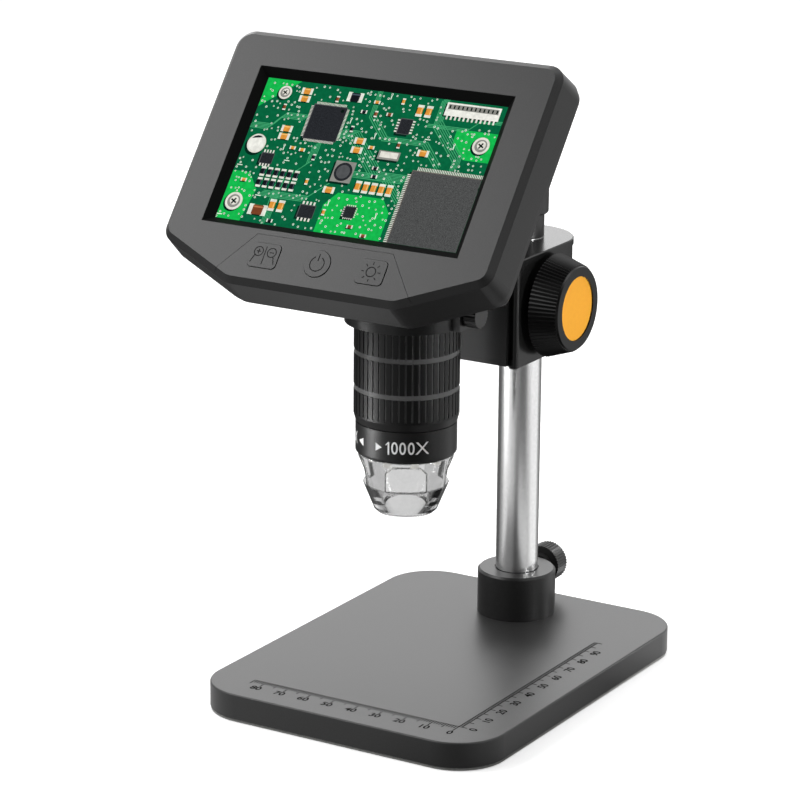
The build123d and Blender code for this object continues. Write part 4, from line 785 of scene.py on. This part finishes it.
def make_floor():
    """White to the eye with the object's shadow, and shaped for reflections as the room is."""
    mesh = bpy.data.meshes.new("floor")
    corners = [(x * FLOOR_HALF, y * FLOOR_HALF, 0) for x, y in ((-1, -1), (1, -1), (1, 1), (-1, 1))]
    mesh.from_pydata(corners, [], [(0, 1, 2, 3)])
    floor = bpy.data.objects.new("floor", mesh)
    bpy.context.scene.collection.objects.link(floor)
    floor.location = (0, POLE_Y * MM, -FLOOR_DROP)
    floor_white = material("floor_white", srgb(245, 245, 245), rough=0.8, spec=0.0, vary=0.01)
    mesh.materials.append(floor_white)
    tree = floor_white.node_tree
    path = add(tree, "LightPath")
    place = add(tree, "TexCoord").outputs["Object"]
    glow = add(tree, "Emission", Strength=FLOOR_GLOW)
    lifted = add(tree, "AddShader")
    tree.links.new(tree.nodes["Principled BSDF"].outputs["BSDF"], lifted.inputs[0])
    tree.links.new(glow.outputs["Emission"], lifted.inputs[1])
    dull = add(tree, "BsdfDiffuse", Color=FLOOR_DULL)
    # in reflections, with a brighter oval beside the base
    mirrored = add(tree, "Emission")
    oval = patch(
        tree, place, centre=(0.12, -0.09, 0.0), size=(0.08, 0.14, 0.1),
        start=0.0, full=0.5, outside=0.0, inside=0.7,
    )
    shaped = color_mix(tree, "LIGHTEN", 1.0, around(tree, place, GROUND), oval)
    tree.links.new(shaped, mirrored.inputs["Color"])
    # through the clear cap, bright round the point that shows behind it
    clear = add(tree, "Emission")
    behind = patch(
        tree, place, centre=(-0.153, 0.171, 0.0), size=(0.5, 0.5, 0.5),
        start=0.35, full=0.7, outside=0.05, inside=0.85,
    )
    tree.links.new(behind, clear.inputs["Color"])
    seen = lifted.outputs["Shader"]
    for ray, shader in (
        ("Is Diffuse Ray", dull.outputs["BSDF"]),
        ("Is Glossy Ray", mirrored.outputs["Emission"]),
        ("Is Transmission Ray", clear.outputs["Emission"]),
    ):
        seen = joined(tree, path.outputs[ray], seen, shader)
    tree.links.new(seen, tree.nodes["Material Output"].inputs["Surface"])


def softbox(name, place, target, width, height, power, spread=180.0):
    """Oblong lamp at place, aimed at target; sizes in metres, power in watts, spread in degrees."""
    lamp = bpy.data.lights.new(name, "AREA")
    lamp.shape = "RECTANGLE"
    lamp.size, lamp.size_y = width, height
    lamp.energy = power
    lamp.spread = math.radians(spread)
    holder = bpy.data.objects.new(name, lamp)
    holder.location = place
    holder.rotation_mode = "QUATERNION"
    holder.rotation_quaternion = (Vector(target) - Vector(place)).to_track_quat("-Z", "Y")
    bpy.context.scene.collection.objects.link(holder)


make_room()
make_floor()
softbox("key_left", (-0.6, -0.46, 0.82), (0, 0, 0.17), width=0.45, height=0.45, power=4.0)
softbox("top", (-0.05, 0.1, 1.3), (0, 0, 0.1), width=0.8, height=0.8, power=5.0)
softbox("back", (-0.62, 1.03, 0.5), (0, 0, 0.1), width=1.0, height=0.45, power=2.4)
softbox(
    "collar_side", (0.34, 0.35, 0.06), (0, POLE_Y * MM, 0.02),
    width=0.12, height=0.06, power=0.012, spread=14.0,
)
softbox(
    "knob_side", (0.6, 0.0, 0.16), (0.05, 0.039, 0.137),
    width=0.12, height=0.12, power=0.08, spread=30.0,
)
for degrees, power in ((-150, 0.008), (-138, 0.011), (-126, 0.003)):
    x, y = turned(0, BARREL_Y * MM, BARREL_LAMPS, 0, math.radians(degrees))
    softbox(
        "barrel_side", (x, y, 0.03), (0, BARREL_Y * MM, 0.09),
        width=0.1, height=0.05, power=power, spread=12.0,
    )

# camera of the photograph, as it was fitted to the base and the pole
camera = bpy.data.cameras.new("camera")
camera.sensor_fit = "HORIZONTAL"
camera.sensor_width = 36.0
camera.lens = 155.6
camera.clip_start, camera.clip_end = 0.05, 20.0
viewer = bpy.data.objects.new("camera", camera)
viewer.matrix_world = Matrix((
    (0.85542127, -0.15054461, 0.49557115, 0.604823),
    (0.51787858, 0.23476307, -0.82261052, -1.036964),
    (0.00749778, 0.96032423, 0.27878515, 0.455048),
    (0, 0, 0, 1),
))
bpy.context.scene.collection.objects.link(viewer)
bpy.context.scene.camera = viewer
bpy.context.scene.view_settings.view_transform = "Standard"
